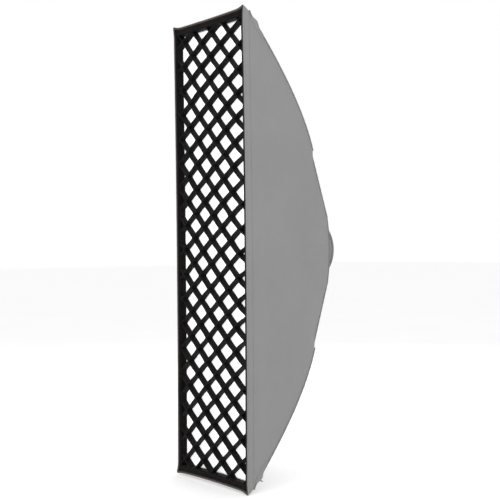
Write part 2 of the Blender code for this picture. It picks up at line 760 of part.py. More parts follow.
def rear_cuff():
    """A sleeve round the ring, with a rim in front that reaches out to the panels."""
    sections = []
    for i in range(CUFF_STEPS):
        angle = 2 * math.pi * i / CUFF_STEPS
        rim = rear_outline(angle) + 0.0004
        profile = (
            (CUFF_BORE_R, CUFF_REAR),
            (CUFF_R, CUFF_REAR),
            (CUFF_R, CUFF_RIM_REAR),
            (rim, CUFF_RIM_REAR),
            (rim, CUFF_FRONT),
            (CUFF_BORE_R, CUFF_FRONT),
        )
        sections.append(
            [point(r * math.cos(angle), depth, r * math.sin(angle)) for r, depth in profile]
        )
    cuff = add("rear_cuff", skin(sections, ring=True), "grey_cloth", REAR, sharp=30)
    start, end = point(-0.074, KNOB_DEPTH, 0), point(-0.083, KNOB_DEPTH, 0)
    drill(cuff, "cut_cuff_hole", start, end, KNOB_STEM_R + 0.0004)


for name, side in (("left", -1), ("right", 1)):
    fabric_panel(f"side_panel_{name}", side_surface, 12, Vector((side, 0, 0)))
for name, side in (("top", 1), ("bottom", -1)):
    fabric_panel(f"end_panel_{name}", end_surface, 4, Vector((0, 0, side)))
rear_cuff()

# ---------------------------------------------- front bands, diffuser and baffle
LIP_REAR = 0.3600
LIP_WALL = 0.0025
LIP_REAR_HALF_X, LIP_REAR_HALF_Z = FRONT_CORNER[0] + 0.0002, FRONT_CORNER[2] + 0.0005
GRID_REAR, GRID_FRONT = 0.3580, 0.3770
GRID_HALF_X, GRID_HALF_Z = 0.1400, 0.5820
BORDER_HALF_X, BORDER_HALF_Z = 0.1460, 0.5950
BORDER_THICKNESS = 0.0015
DIFFUSER_REAR = 0.3550
DIFFUSER_HALF_X, DIFFUSER_HALF_Z = 0.1395, 0.5775
BAFFLE_REAR = 0.2700

# (x, z), the upper +X quarter, with a short tab that reaches out to the rod
BAFFLE_QUARTER = [
    (0.100, 0.400), (0.1005, 0.4480), (0.1060, 0.4700), (0.0960, 0.4700), (0.080, 0.440),
]


def frame_band(name, outer_rear, outer_front, inner_rear, inner_front, rear, front, look):
    """A rectangular band open at front and rear, from (half width, half height) pairs."""
    sections = [
        [point(sx * half_x, depth, sz * half_z) for sx, sz in ((1, 1), (-1, 1), (-1, -1), (1, -1))]
        for (half_x, half_z), depth in (
            (outer_rear, rear),
            (outer_front, front),
            (inner_front, front),
            (inner_rear, rear),
        )
    ]
    add(name, skin(sections, ring=True), look, point(0, front, 0), sharp=None)


def white_sheet(name, outline, rear):
    mesh = prism(outline, at_depth, rear, rear + CLOTH)
    add(name, mesh, "white_cloth", point(0, rear, 0), sharp=None)


frame_band(
    "front_lip_band",
    outer_rear=(LIP_REAR_HALF_X, LIP_REAR_HALF_Z),
    outer_front=(WIDTH / 2, HEIGHT / 2),
    inner_rear=(LIP_REAR_HALF_X - LIP_WALL, LIP_REAR_HALF_Z - LIP_WALL),
    inner_front=(WIDTH / 2 - LIP_WALL, HEIGHT / 2 - LIP_WALL),
    rear=LIP_REAR,
    front=DEPTH,
    look="grey_cloth",
)
frame_band(
    "grid_border",
    outer_rear=(BORDER_HALF_X, BORDER_HALF_Z),
    outer_front=(BORDER_HALF_X, BORDER_HALF_Z),
    inner_rear=(GRID_HALF_X + GAP, GRID_HALF_Z + GAP),
    inner_front=(GRID_HALF_X + GAP, GRID_HALF_Z + GAP),
    rear=GRID_FRONT - BORDER_THICKNESS,
    front=GRID_FRONT,
    look="black_cloth",
)
white_sheet(
    "front_diffuser",
    mirrored([(DIFFUSER_HALF_X, -DIFFUSER_HALF_Z), (DIFFUSER_HALF_X, DIFFUSER_HALF_Z)]),
    DIFFUSER_REAR,
)
baffle_top = mirrored(BAFFLE_QUARTER)
white_sheet("inner_baffle", baffle_top + [(-x, -z) for x, z in baffle_top], BAFFLE_REAR)

# ----------------------------------------------------------------- grid lattice
# The soft grid hangs askew: its middle crossing is off centre, its columns lean towards +X as
# they rise, its rows drop towards +X, its cells are a little shorter there, and they grow
# towards the bottom.
GRID_STEP_X, GRID_STEP_Z = 0.0396, 0.0318
GRID_START_X, GRID_START_Z = -0.0024, -0.0035
GRID_LEAN, GRID_DROP, GRID_FAN, GRID_SAG = 0.0026, 0.0019, 0.00035, 0.000031
GRID_WALL = 0.0013
MIN_CELL_SIZE = 0.0015  # area over perimeter below which a cell is solid
MIN_OPENING_EDGE = 0.0005


def clip(outline, axis, limit, sign):
    """Keep the part of a closed outline where sign * coordinate <= sign * limit."""
    kept = []
    for k, this in enumerate(outline):
        after = outline[(k + 1) % len(outline)]
        over0, over1 = sign * (this[axis] - limit), sign * (after[axis] - limit)
        if over0 <= 0:
            kept.append(this)
        if (over0 < 0 < over1) or (over1 < 0 < over0):
            # always cut from the lesser end, so that neighbouring cells get the same point
            (start, over_start), (end, over_end) = sorted(((this, over0), (after, over1)))
            share = over_start / (over_start - over_end)
            hit = [start[0] + (end[0] - start[0]) * share, start[1] + (end[1] - start[1]) * share]
            hit[axis] = limit
            kept.append(tuple(hit))
    return kept


def knot(i, j):
    """The crossing of two strips."""
    return (
        GRID_START_X + i * GRID_STEP_X + j * GRID_LEAN,
        GRID_START_Z + j * GRID_STEP_Z - i * GRID_DROP - i * j * GRID_FAN - j * j * GRID_SAG,
    )


def grid_cells():
    """Diamonds on an even pattern, trimmed to the grid's rectangle, anticlockwise."""
    cells = []
    for i in range(-7, 8):
        for j in range(-24, 25):
            if (i + j) % 2:
                continue
            cell = [knot(i + 1, j), knot(i, j + 1), knot(i - 1, j), knot(i, j - 1)]
            for axis, limit in ((0, GRID_HALF_X), (1, GRID_HALF_Z)):
                cell = clip(clip(cell, axis, limit, 1), axis, -limit, -1)
            if len(cell) > 2:
                cells.append(cell)
    return cells


def inset(corners, wall):
    """Move the corners of an anticlockwise convex outline in by wall.

    Where an edge is too short to last, its two corners become one.
    """
    count = len(corners)
    lines = []
    for k in range(count):
        edge = (corners[(k + 1) % count] - corners[k]).normalized()
        lines.append((corners[k] + Vector((-edge.y, edge.x)) * wall, edge))

    def meet(first, second):
        (here, along), (there, other) = lines[first], lines[second]
        det = along.x * -other.y + other.x * along.y
        offset = (there.x - here.x) * -other.y + other.x * (there.y - here.y)
        return here + along * (offset / det)

    live = list(range(count))
    while len(live) > 3:
        runs = [
            (meet(live[k], live[(k + 1) % len(live)]) - meet(live[k - 1], live[k])).dot(
                lines[live[k]][1]
            )
            for k in range(len(live))
        ]
        shortest = min(range(len(live)), key=lambda k: runs[k])
        if runs[shortest] > MIN_OPENING_EDGE:
            break
        live.pop(shortest)
    inner = []
    for k in range(count):
        before = max((line for line in live if line <= k - 1), default=live[-1])
        after = min((line for line in live if line >= k), default=live[0])
        inner.append(meet(before, after))
    return inner


def grid_lattice():
    """Each cell is a frame of walls round an opening, and the cells share their edges."""
    mesh = bmesh.new()
    made = {}

    def vert(corner, depth):
        x, z = corner
        key = (round(x, 6), round(z, 6), depth)
        if key not in made:
            made[key] = mesh.verts.new(point(x, depth, z))
        return made[key]

    def wall_face(start, end):
        mesh.faces.new(
            (
                vert(start, GRID_REAR),
                vert(end, GRID_REAR),
                vert(end, GRID_FRONT),
                vert(start, GRID_FRONT),
            )
        )

    edge_uses = {}
    for cell in grid_cells():
        corners = [Vector(corner) for corner in cell]
        count = len(corners)
        edges = [(corners[k], corners[(k + 1) % count]) for k in range(count)]
        for edge in edges:
            key = tuple(sorted((round(end.x, 6), round(end.y, 6)) for end in edge))
            edge_uses[key] = edge_uses.get(key, 0) + 1
        around = sum((end - start).length for start, end in edges)
        area = sum(start.cross(end) for start, end in edges) / 2
        if area / around < MIN_CELL_SIZE:
            for depth in (GRID_REAR, GRID_FRONT):
                mesh.faces.new([vert(corner, depth) for corner in corners])
            continue
        inner = inset(corners, GRID_WALL)
        for k, (start, end) in enumerate(edges):
            inner_start, inner_end = inner[k], inner[(k + 1) % count]
            merged = (inner_end - inner_start).length < 1e-6
            for depth in (GRID_REAR, GRID_FRONT):
                face = [vert(corner, depth) for corner in (start, end, inner_end, inner_start)]
                mesh.faces.new(face[:3] if merged else face)
            if not merged:
                wall_face(inner_start, inner_end)
    # an edge of one cell only lies on the outside of the grid
    for (start, end), uses in edge_uses.items():
        if uses == 1:
            wall_face(start, end)
    return mesh


add("grid_lattice", grid_lattice(), "black_cloth", point(0, GRID_FRONT, 0), sharp=None)
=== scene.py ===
import math

import bmesh
import bpy
import numpy as np
from mathutils import Matrix, Vector, noise

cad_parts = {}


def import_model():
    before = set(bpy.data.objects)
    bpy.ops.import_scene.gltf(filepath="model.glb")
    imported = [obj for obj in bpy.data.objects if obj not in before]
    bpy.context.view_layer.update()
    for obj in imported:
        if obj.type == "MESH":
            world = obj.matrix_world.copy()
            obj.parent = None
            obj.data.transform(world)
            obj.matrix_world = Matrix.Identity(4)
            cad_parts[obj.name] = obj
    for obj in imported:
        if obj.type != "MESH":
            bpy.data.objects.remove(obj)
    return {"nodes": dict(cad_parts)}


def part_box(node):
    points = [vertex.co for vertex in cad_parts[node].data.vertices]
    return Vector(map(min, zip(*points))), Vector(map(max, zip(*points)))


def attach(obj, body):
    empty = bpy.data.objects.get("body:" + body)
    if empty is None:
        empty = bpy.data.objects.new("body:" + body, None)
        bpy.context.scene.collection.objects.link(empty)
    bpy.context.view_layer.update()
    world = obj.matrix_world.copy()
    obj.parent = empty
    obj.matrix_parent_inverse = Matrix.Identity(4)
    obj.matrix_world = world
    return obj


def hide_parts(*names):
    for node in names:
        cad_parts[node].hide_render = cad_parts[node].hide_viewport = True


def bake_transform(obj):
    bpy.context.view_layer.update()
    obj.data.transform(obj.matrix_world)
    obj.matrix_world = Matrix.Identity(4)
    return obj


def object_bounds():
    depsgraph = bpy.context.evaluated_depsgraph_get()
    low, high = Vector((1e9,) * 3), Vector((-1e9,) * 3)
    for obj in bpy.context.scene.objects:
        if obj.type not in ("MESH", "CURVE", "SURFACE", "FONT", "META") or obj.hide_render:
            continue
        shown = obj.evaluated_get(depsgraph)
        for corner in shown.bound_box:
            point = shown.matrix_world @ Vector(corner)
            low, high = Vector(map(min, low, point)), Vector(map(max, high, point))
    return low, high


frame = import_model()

CAD_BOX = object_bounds()
REAR_Y = max(c[1] for c in CAD_BOX)
DEPTH = REAR_Y - min(c[1] for c in CAD_BOX)
HALF_X = max(c[0] for c in CAD_BOX)
HALF_Z = max(c[2] for c in CAD_BOX)

# the rib hinge, in depth behind... depths run forward from the rear face
REAR_CORNER = (0.076, 0.0305, 0.0881)
REAR_SIDE_X = 0.084
KINK = (0.084, 0.088, 0.2657)
CORNER_CONTROL = (0.1500, 0.3994)
FRONT_CORNER = (0.1465, 0.358, 0.592)
TAGS = {"ul": (-1, 1), "ur": (1, 1), "ll": (-1, -1), "lr": (1, -1)}


def world(x, d, z):
    """Points given as width, depth and height, in the row frame."""
    x, d, z = np.broadcast_arrays(np.asarray(x, float), np.asarray(d, float), np.asarray(z, float))
    return np.stack([x, REAR_Y - d, z], axis=-1)


# ================================================================== materials
def nodes_of(name):
    m = bpy.data.materials.new(name)
    m.use_nodes = True
    nt = m.node_tree
    b = nt.nodes["Principled BSDF"]
    return m, nt, b


def node(nt, kind, **values):
    n = nt.nodes.new(kind)
    for k, v in values.items():
        if k in n.inputs:
            n.inputs[k].default_value = v
        else:
            setattr(n, k, v)
    return n


def link(nt, a, b):
    nt.links.new(a, b)


def coords(nt):
    return node(nt, "ShaderNodeTexCoord").outputs["Object"]


def maths(nt, op, a, b=None, c=None, clamp=False):
    n = node(nt, "ShaderNodeMath", operation=op)
    n.use_clamp = clamp
    for i, v in enumerate((a, b, c)):
        if v is None:
            continue
        if isinstance(v, (int, float)):
            n.inputs[i].default_value = v
        else:
            link(nt, v, n.inputs[i])
    return n.outputs[0]


def noise_tex(nt, co, scale, detail=3.0, rough=0.55, distortion=0.0):
    n = node(nt, "ShaderNodeTexNoise", Scale=scale, Detail=detail, Roughness=rough, Distortion=distortion)
    link(nt, co, n.inputs["Vector"])
    return n.outputs["Fac"]


def ramp(nt, fac, stops):
    n = node(nt, "ShaderNodeValToRGB")
    r = n.color_ramp
    while len(r.elements) < len(stops):
        r.elements.new(0.5)
    for e, (p, c) in zip(r.elements, stops):
        e.position = p
        e.color = (*c, 1.0) if len(c) == 3 else c
    link(nt, fac, n.inputs["Fac"])
    return n.outputs["Color"]


def spread(nt, fac, lo, hi):
    n = node(nt, "ShaderNodeMapRange")
    n.inputs["To Min"].default_value = lo
    n.inputs["To Max"].default_value = hi
    link(nt, fac, n.inputs["Value"])
    return n.outputs["Result"]


def bump(nt, height, distance, strength=1.0, base=None):
    n = node(nt, "ShaderNodeBump", Strength=strength, Distance=distance)
    link(nt, height, n.inputs["Height"])
    if base is not None:
        link(nt, base, n.inputs["Normal"])
    return n.outputs["Normal"]


def weave_height(nt, co, axes, pitch):
    """A plain weave on two axes: threads over and under one another."""
    sep = node(nt, "ShaderNodeSeparateXYZ")
    link(nt, co, sep.inputs[0])
    a, b = (sep.outputs["XYZ".index(k)] for k in axes)
    k = math.pi / pitch
    sa = maths(nt, "SINE", maths(nt, "MULTIPLY", a, k))
    sb = maths(nt, "SINE", maths(nt, "MULTIPLY", b, k))
    over = maths(nt, "MULTIPLY", sa, sb)
    threads = maths(nt, "MAXIMUM", maths(nt, "ABSOLUTE", sa), maths(nt, "ABSOLUTE", sb))
    return maths(nt, "ADD", maths(nt, "MULTIPLY", over, 0.5), maths(nt, "MULTIPLY", threads, 0.5))


def cloth(name, dark, light, axes, pitch=0.0009, rough=(0.62, 0.80), sheen=0.08, weave=0.00006, mottle=7.0, fuzz=0.0, shine=0.22):
    m, nt, b = nodes_of(name)
    co = coords(nt)
    broad = noise_tex(nt, co, mottle, 4.0, 0.6)
    fine = noise_tex(nt, co, 420.0, 2.0, 0.6)
    w = weave_height(nt, co, axes, pitch)
    tone = maths(nt, "ADD", maths(nt, "MULTIPLY", broad, 0.62), maths(nt, "MULTIPLY", fine, 0.38))
    tone = maths(nt, "ADD", tone, maths(nt, "MULTIPLY", maths(nt, "SUBTRACT", w, 0.45), 0.16))
    link(nt, ramp(nt, tone, [(0.25, dark), (0.75, light)]), b.inputs["Base Color"])
    link(nt, spread(nt, fine, *rough), b.inputs["Roughness"])
    b.inputs["Sheen Weight"].default_value = sheen
    b.inputs["Sheen Roughness"].default_value = 0.5
    b.inputs["Specular IOR Level"].default_value = shine
    n1 = bump(nt, w, weave)
    n2 = bump(nt, noise_tex(nt, co, 60.0, 3.0), 0.0005, 0.35, n1)
    if fuzz:
        n2 = bump(nt, noise_tex(nt, co, 900.0, 2.0, 0.8), fuzz, 0.9, n2)
    link(nt, n2, b.inputs["Normal"])
    return m


def white_sheet(name, painted_backlight, axes):
    m, nt, b = nodes_of(name)
    co = coords(nt)
    w = weave_height(nt, co, axes, 0.0008)
    soft = noise_tex(nt, co, 5.0, 3.0)
    tone = maths(nt, "ADD", maths(nt, "MULTIPLY", soft, 0.7), maths(nt, "MULTIPLY", w, 0.3))
    colour = ramp(nt, tone, [(0.2, (0.86, 0.86, 0.855)), (0.8, (0.93, 0.93, 0.93))])
    link(nt, colour, b.inputs["Base Color"])
    link(nt, spread(nt, w, 0.55, 0.75), b.inputs["Roughness"])
    link(nt, bump(nt, w, 0.00005), b.inputs["Normal"])
    # painted light: the emission makes the sheet glow as if the lamp inside the box lit it; the sheet itself is no lamp
    if painted_backlight:
        link(nt, colour, b.inputs["Emission Color"])
        b.inputs["Emission Strength"].default_value = painted_backlight
    return m


def silver_lining(name):
    m, nt, b = nodes_of(name)
    co = coords(nt)
    v = node(nt, "ShaderNodeTexVoronoi", Scale=260.0)
    link(nt, co, v.inputs["Vector"])
    link(nt, ramp(nt, noise_tex(nt, co, 40.0), [(0.3, (0.60, 0.60, 0.61)), (0.7, (0.74, 0.74, 0.75))]), b.inputs["Base Color"])
    b.inputs["Metallic"].default_value = 0.85
    b.inputs["Roughness"].default_value = 0.42
    link(nt, bump(nt, v.outputs["Distance"], 0.0004, 0.6), b.inputs["Normal"])
    return m


def worn(nt, colour_out, bright, amount=0.5):
    """Lighter where an edge sticks out, broken up by noise."""
    g = node(nt, "ShaderNodeNewGeometry")
    edge = maths(nt, "MULTIPLY", maths(nt, "SUBTRACT", g.outputs["Pointiness"], 0.53), 9.0, clamp=True)
    rub = maths(nt, "MULTIPLY", edge, noise_tex(nt, coords(nt), 180.0, 4.0, 0.7), clamp=True)
    mix = node(nt, "ShaderNodeMix", data_type="RGBA")
    link(nt, maths(nt, "MULTIPLY", rub, amount, clamp=True), mix.inputs["Factor"])
    link(nt, colour_out, mix.inputs[6])
    mix.inputs[7].default_value = (*bright, 1.0)
    return mix.outputs[2]


def hard(name, dark, light, metallic, rough, bump_scale, bump_depth, wear=None, streak=None, coat=0.0):
    m, nt, b = nodes_of(name)
    co = coords(nt)
    if streak:
        mp = node(nt, "ShaderNodeMapping")
        mp.inputs["Scale"].default_value = streak
        link(nt, co, mp.inputs["Vector"])
        grain = noise_tex(nt, mp.outputs["Vector"], 1.0, 4.0, 0.6)
    else:
        grain = noise_tex(nt, co, bump_scale * 0.35, 3.0)
    colour = ramp(nt, grain, [(0.3, dark), (0.7, light)])
    if wear:
        colour = worn(nt, colour, wear)
    link(nt, colour, b.inputs["Base Color"])
    b.inputs["Metallic"].default_value = metallic
    link(nt, spread(nt, grain, *rough), b.inputs["Roughness"])
    b.inputs["Coat Weight"].default_value = coat
    link(nt, bump(nt, noise_tex(nt, co, bump_scale, 3.0), bump_depth), b.inputs["Normal"])
    return m


GREY_D, GREY_L = (0.213, 0.213, 0.214), (0.248, 0.248, 0.249)
M = {
    "side": cloth("grey_weave_side", GREY_D, GREY_L, "YZ"),
    "end": cloth("grey_weave_end", GREY_D, GREY_L, "XZ"),
    "rear": cloth("grey_weave_rear", (0.200, 0.200, 0.202), (0.236, 0.236, 0.238), "XZ"),
    "piping": cloth("grey_piping", (0.185, 0.185, 0.187), (0.228, 0.228, 0.23), "YZ", pitch=0.0012, weave=0.00012),
    "elastic": cloth("grey_elastic", (0.155, 0.155, 0.157), (0.205, 0.205, 0.207), "XZ", pitch=0.0016, weave=0.0003, sheen=0.2),
    "binding": cloth("dark_binding", (0.040, 0.031, 0.027), (0.094, 0.077, 0.069), "XZ", pitch=0.0014, weave=0.0002, sheen=0.02, shine=0.10),
    "loop": cloth("black_loop_lining", (0.0016, 0.0012, 0.0011), (0.0100, 0.0082, 0.0074), "XZ", pitch=0.0018, weave=0.00015, rough=(0.8, 0.95), sheen=0.01, mottle=34.0, fuzz=0.0009, shine=0.06),
    "strip": cloth("black_strip_nylon", (0.0014, 0.0012, 0.0013), (0.0075, 0.0070, 0.0073), "YZ", pitch=0.0011, weave=0.00008, rough=(0.6, 0.8), sheen=0.01, mottle=26.0, shine=0.09),
    "tape": cloth("black_border_tape", (0.0018, 0.0014, 0.0013), (0.0105, 0.0088, 0.0082), "XZ", pitch=0.0017, weave=0.0002, rough=(0.7, 0.9), sheen=0.01, mottle=30.0, fuzz=0.0003, shine=0.07),
    # diffuser: white cloth with painted light, an emission that stands in for the lamp behind it
    "diffuser": white_sheet("white_diffuser", 0.75, "XZ"),
    "baffle": white_sheet("white_baffle", 0.0, "XZ"),
    "silver": silver_lining("silver_lining"),
    "thread_grey": cloth("grey_thread", (0.17, 0.17, 0.17), (0.22, 0.22, 0.22), "YZ", pitch=0.0005),
    "thread_black": cloth("black_thread", (0.02, 0.02, 0.02), (0.045, 0.043, 0.042), "XZ", pitch=0.0005),
    "aluminium": hard("satin_aluminium", (0.58, 0.58, 0.59), (0.72, 0.72, 0.73), 1.0, (0.26, 0.40), 600.0, 0.00002, wear=(0.85, 0.85, 0.85), streak=(40, 900, 40)),
    "cast": hard("black_powder_coat", (0.018, 0.018, 0.019), (0.032, 0.032, 0.034), 0.0, (0.42, 0.58), 900.0, 0.00012, wear=(0.30, 0.30, 0.31)),
    "steel": hard("zinc_steel", (0.52, 0.53, 0.55), (0.68, 0.68, 0.70), 1.0, (0.22, 0.38), 900.0, 0.00002, wear=(0.9, 0.9, 0.9)),
    "plastic": hard("black_moulded_plastic", (0.016, 0.016, 0.017), (0.026, 0.026, 0.027), 0.0, (0.40, 0.55), 1400.0, 0.00006, wear=(0.10, 0.10, 0.10)),
    "red": hard("red_moulded_plastic", (0.36, 0.018, 0.016), (0.48, 0.030, 0.026), 0.0, (0.32, 0.45), 1400.0, 0.00004, wear=(0.7, 0.2, 0.2)),
    "fibre": hard("black_glassfibre", (0.020, 0.020, 0.022), (0.050, 0.050, 0.055), 0.0, (0.25, 0.40), 700.0, 0.00003, streak=(700, 60, 60), coat=0.3),
    "rubber": hard("black_rubber", (0.012, 0.012, 0.012), (0.022, 0.022, 0.022), 0.0, (0.7, 0.85), 700.0, 0.0001),
    "pocket": cloth("black_pocket_cloth", (0.008, 0.0075, 0.0073), (0.020, 0.0185, 0.018), "YZ", pitch=0.0014, weave=0.0002),
}


# ==================================================================== helpers
def obj_from(name, verts, faces, mats, angle=40, index=None):
    me = bpy.data.meshes.new(name)
    me.from_pydata([tuple(v) for v in verts], [], [tuple(f) for f in faces])
    for m in mats if isinstance(mats, (list, tuple)) else [mats]:
        me.materials.append(m)
    if index is not None:
        me.polygons.foreach_set("material_index", np.asarray(index, np.int32))
    bm = bmesh.new()
    bm.from_mesh(me)
    bmesh.ops.recalc_face_normals(bm, faces=bm.faces)
    bm.to_mesh(me)
    bm.free()
    me.shade_smooth()
    me.set_sharp_from_angle(angle=math.radians(angle))
    ob = bpy.data.objects.new(name, me)
    bpy.context.scene.collection.objects.link(ob)
    return ob


def grid_normals(p):
    du = np.gradient(p, axis=0)
    dv = np.gradient(p, axis=1)
    n = np.cross(du, dv)
    return n / np.maximum(np.linalg.norm(n, axis=-1, keepdims=True), 1e-12)


def shell(name, outer, outward, thick, mats, angle=40):
    """A closed sheet from a grid of outer points [i][j], thick inwards. Inner faces take the second material."""
    n = grid_normals(outer)
    centre = (n * np.asarray(outward)).sum()
    if centre < 0:
        n = -n
    inner = outer - n * thick
    a, b = outer.shape[:2]
    verts = np.concatenate([outer.reshape(-1, 3), inner.reshape(-1, 3)])
    at = lambda s, i, j: s * a * b + i * b + j
    faces, index = [], []
    for i in range(a - 1):
        for j in range(b - 1):
            faces.append((at(0, i, j), at(0, i + 1, j), at(0, i + 1, j + 1), at(0, i, j + 1)))
            index.append(0)
            faces.append((at(1, i, j), at(1, i, j + 1), at(1, i + 1, j + 1), at(1, i + 1, j)))
            index.append(1)
    for i in range(a - 1):
        for j in (0, b - 1):
            faces.append((at(0, i, j), at(0, i + 1, j), at(1, i + 1, j), at(1, i, j)))
            index.append(0)
    for j in range(b - 1):
        for i in (0, a - 1):
            faces.append((at(0, i, j), at(0, i, j + 1), at(1, i, j + 1), at(1, i, j)))
            index.append(0)
    if len(mats) == 1:
        index = None
    return obj_from(name, verts, faces, mats, angle, index)


def tube_rows(name, rows, mats, closed_path=False, angle=40, caps=True):
    """Skin a list of closed section loops, each [k][3]."""
    rows = np.asarray(rows)
    m, k = rows.shape[:2]
    faces = []
    for i in range(m if closed_path else m - 1):
        for j in range(k):
            a, b = i, (i + 1) % m
            c = (j + 1) % k
            faces.append((a * k + j, a * k + c, b * k + c, b * k + j))
    if caps and not closed_path:
        faces.append(tuple(range(k)))
        faces.append(tuple((m - 1) * k + j for j in range(k)))
    return obj_from(name, rows.reshape(-1, 3), faces, mats, angle)


def drawn(p):
    """The front is held out by the four rod tips only, so its edges bow in a little between them and its corners are drawn out. The right one is slack and bulges."""
    p = np.asarray(p, float)
    x, z, d = p[..., 0], p[..., 2], REAR_Y - p[..., 1]
    s = np.clip((d - 0.27) / 0.09, 0, 1)
    s = s * s * (3 - 2 * s)
    bx = 0.0042 * (1 - np.clip(z / HALF_Z, -1, 1) ** 2) * s
    bx = bx * np.interp(x, [0.106, 0.124, 0.140, 0.147, 0.152], [1.0, 0.45, -1.70, -1.35, -1.20])
    bz = np.where(z > 0, 0.0016, 0.0030) * (1 - np.clip(x / HALF_X, -1, 1) ** 2) * s
    out = p.copy()
    out[..., 0] = x - bx * np.clip(x / HALF_X, -1, 1)
    out[..., 2] = z - bz * np.clip(z / HALF_Z, -1, 1) * np.clip((np.abs(z) - 0.3) / 0.2, 0, 1)
    near = np.hypot(np.abs(x) - HALF_X, np.abs(z) - HALF_Z)
    pull = 0.0058 * np.exp(-((near / 0.014) ** 2)) * np.clip((d - 0.345) / 0.015, 0, 1)
    low = (x < 0) & (z < 0)
    out[..., 0] += np.sign(x) * pull * np.where(low, 1.05, 0.55)
    out[..., 2] += np.sign(z) * pull * np.where(low, 0.55, 1.0)
    return out


def fold(ob):
    """Pulls the piece in with drawn() and bakes its transform. The piece is cloth between the fixed middle and the
    upper or the lower ribs.
    """
    co = np.zeros(len(ob.data.vertices) * 3)
    ob.data.vertices.foreach_get("co", co)
    ob.data.vertices.foreach_set("co", drawn(co.reshape(-1, 3)).ravel())
    ob.data.update()
    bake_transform(ob)
    co = np.zeros(len(ob.data.vertices) * 3)
    ob.data.vertices.foreach_get("co", co)
    return ob


def wob(p, scale, seed=0.0):
    """Smooth noise between -1 and 1 at a point."""
    return noise.noise(Vector((p[0] * scale + seed, p[1] * scale - seed, p[2] * scale + 0.5 * seed)))


def wobs(pts, scale, seed=0.0):
    flat = pts.reshape(-1, 3)
    return np.array([wob(p, scale, seed) for p in flat]).reshape(pts.shape[:-1])


# ============================================================ panel surfaces
SPLIT = 0.30


def corner_line(v):
    v = np.asarray(v, float)
    t = np.clip((v - SPLIT) / (1 - SPLIT), 0, 1)
    s = np.clip(v / SPLIT, 0, 1)
    d = np.where(
        v <= SPLIT,
        REAR_CORNER[1] + (KINK[1] - REAR_CORNER[1]) * s,
        (1 - t) ** 2 * KINK[1] + 2 * t * (1 - t) * CORNER_CONTROL[0] + t * t * FRONT_CORNER[1],
    )
    z = np.where(
        v <= SPLIT,
        REAR_CORNER[2] + (KINK[2] - REAR_CORNER[2]) * s,
        (1 - t) ** 2 * KINK[2] + 2 * t * (1 - t) * CORNER_CONTROL[1] + t * t * FRONT_CORNER[2],
    )
    x = np.where(
        v <= SPLIT,
        REAR_CORNER[0],
        KINK[0] + (FRONT_CORNER[0] - KINK[0]) * (z - KINK[2]) / (FRONT_CORNER[2] - KINK[2]),
    )
    return x, d, z


def side_xyz(u, v):
    x, d, z = corner_line(v)
    run = (d - REAR_CORNER[1]) / (FRONT_CORNER[1] - REAR_CORNER[1])
    middle = REAR_SIDE_X + (FRONT_CORNER[0] - REAR_SIDE_X) * run - 0.004 * np.sin(np.pi * run)
    return middle + (x - middle) * u * u, d, u * z


def end_xyz(u, v):
    x, d, z = corner_line(v)
    sag = 0.0016 * (1 - u * u) * np.sin(np.pi * v)
    return u * x, d + sag * 0.7, z - sag * 0.7


def spacing(n, power=1.25):
    """Values from 0 to 1, closer together at both ends."""
    t = np.linspace(0, 1, n)
    return np.where(t < 0.5, 0.5 * (2 * t) ** power, 1 - 0.5 * (2 - 2 * t) ** power)


V = np.unique(np.concatenate([np.linspace(0, SPLIT, 24), np.linspace(SPLIT, 1, 60)]))


def panel_relief(p, to_seam, to_lip, along_seam, to_ring):
    """Slack cloth: broad soft waves, puckers along the seams, and pull lines that fan out from the ring."""
    broad = 0.0010 * wobs(p, 7.0, 3.1) + 0.0005 * wobs(p, 17.0, 9.2)
    calm = np.clip(to_seam / 0.05, 0, 1) * np.clip(to_lip / 0.05, 0, 1)
    seam = 0.00055 * np.exp(-to_seam / 0.014) * (1 - np.exp(-to_seam / 0.003)) * np.sin(along_seam * 2 * np.pi / 0.021 + 2.5 * wobs(p, 11.0, 5.0))
    lip = 0.00045 * np.exp(-to_lip / 0.012) * (1 - np.exp(-to_lip / 0.003)) * np.sin((p[..., 2] + p[..., 0]) * 2 * np.pi / 0.027 + 2.2 * wobs(p, 13.0, 1.0))
    fan = 0.0009 * np.exp(-to_ring / 0.06) * np.sin(np.arctan2(p[..., 2], p[..., 0] + 1e-6) * 26 + 1.5 * wobs(p, 15.0, 7.0)) * np.clip(to_ring / 0.012, 0, 1)
    return broad * calm + seam + lip + fan


def side_panel(sx, sz, name, node_name=None):
    u = spacing(56, 1.15)
    uu, vv = np.meshgrid(u, V, indexing="ij")
    x, d, z = side_xyz(uu, vv)
    p = world(sx * x, d, sz * z)
    n = grid_normals(p)
    if (n[..., 0] * sx).sum() < 0:
        n = -n
    cx, cd, cz = corner_line(vv)
    to_seam = (1 - uu) * cz
    to_lip = np.clip(FRONT_CORNER[1] - d, 0, None)
    to_ring = np.clip(d - REAR_CORNER[1], 0, None) + np.clip(np.abs(z) - 0.09, 0, None)
    rel = panel_relief(p, to_seam, to_lip, cd + cz, to_ring)
    p = p + n * rel[..., None]
    ob = shell(name, p, (sx, 0, 0), 0.0010, [M["side"], M["silver"]])
    if node_name:
        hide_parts(node_name)
    return fold(ob)


def end_panel(sz, name, node_name):
    u = 2 * spacing(34, 1.2) - 1
    uu, vv = np.meshgrid(u, V, indexing="ij")
    x, d, z = end_xyz(uu, vv)
    p = world(x, d, sz * z)
    n = grid_normals(p)
    if (n[..., 2] * sz).sum() < 0:
        n = -n
    cx, cd, cz = corner_line(vv)
    to_seam = (1 - np.abs(uu)) * cx
    to_lip = np.clip(FRONT_CORNER[1] - d, 0, None)
    to_ring = np.clip(z - REAR_CORNER[2], 0, None)
    rel = panel_relief(p, to_seam, to_lip, cd + cz, to_ring)
    p = p + n * rel[..., None]
    ob = shell(name, p, (0, 0, sz), 0.0010, [M["end"], M["silver"]])
    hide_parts(node_name)
    return fold(ob)


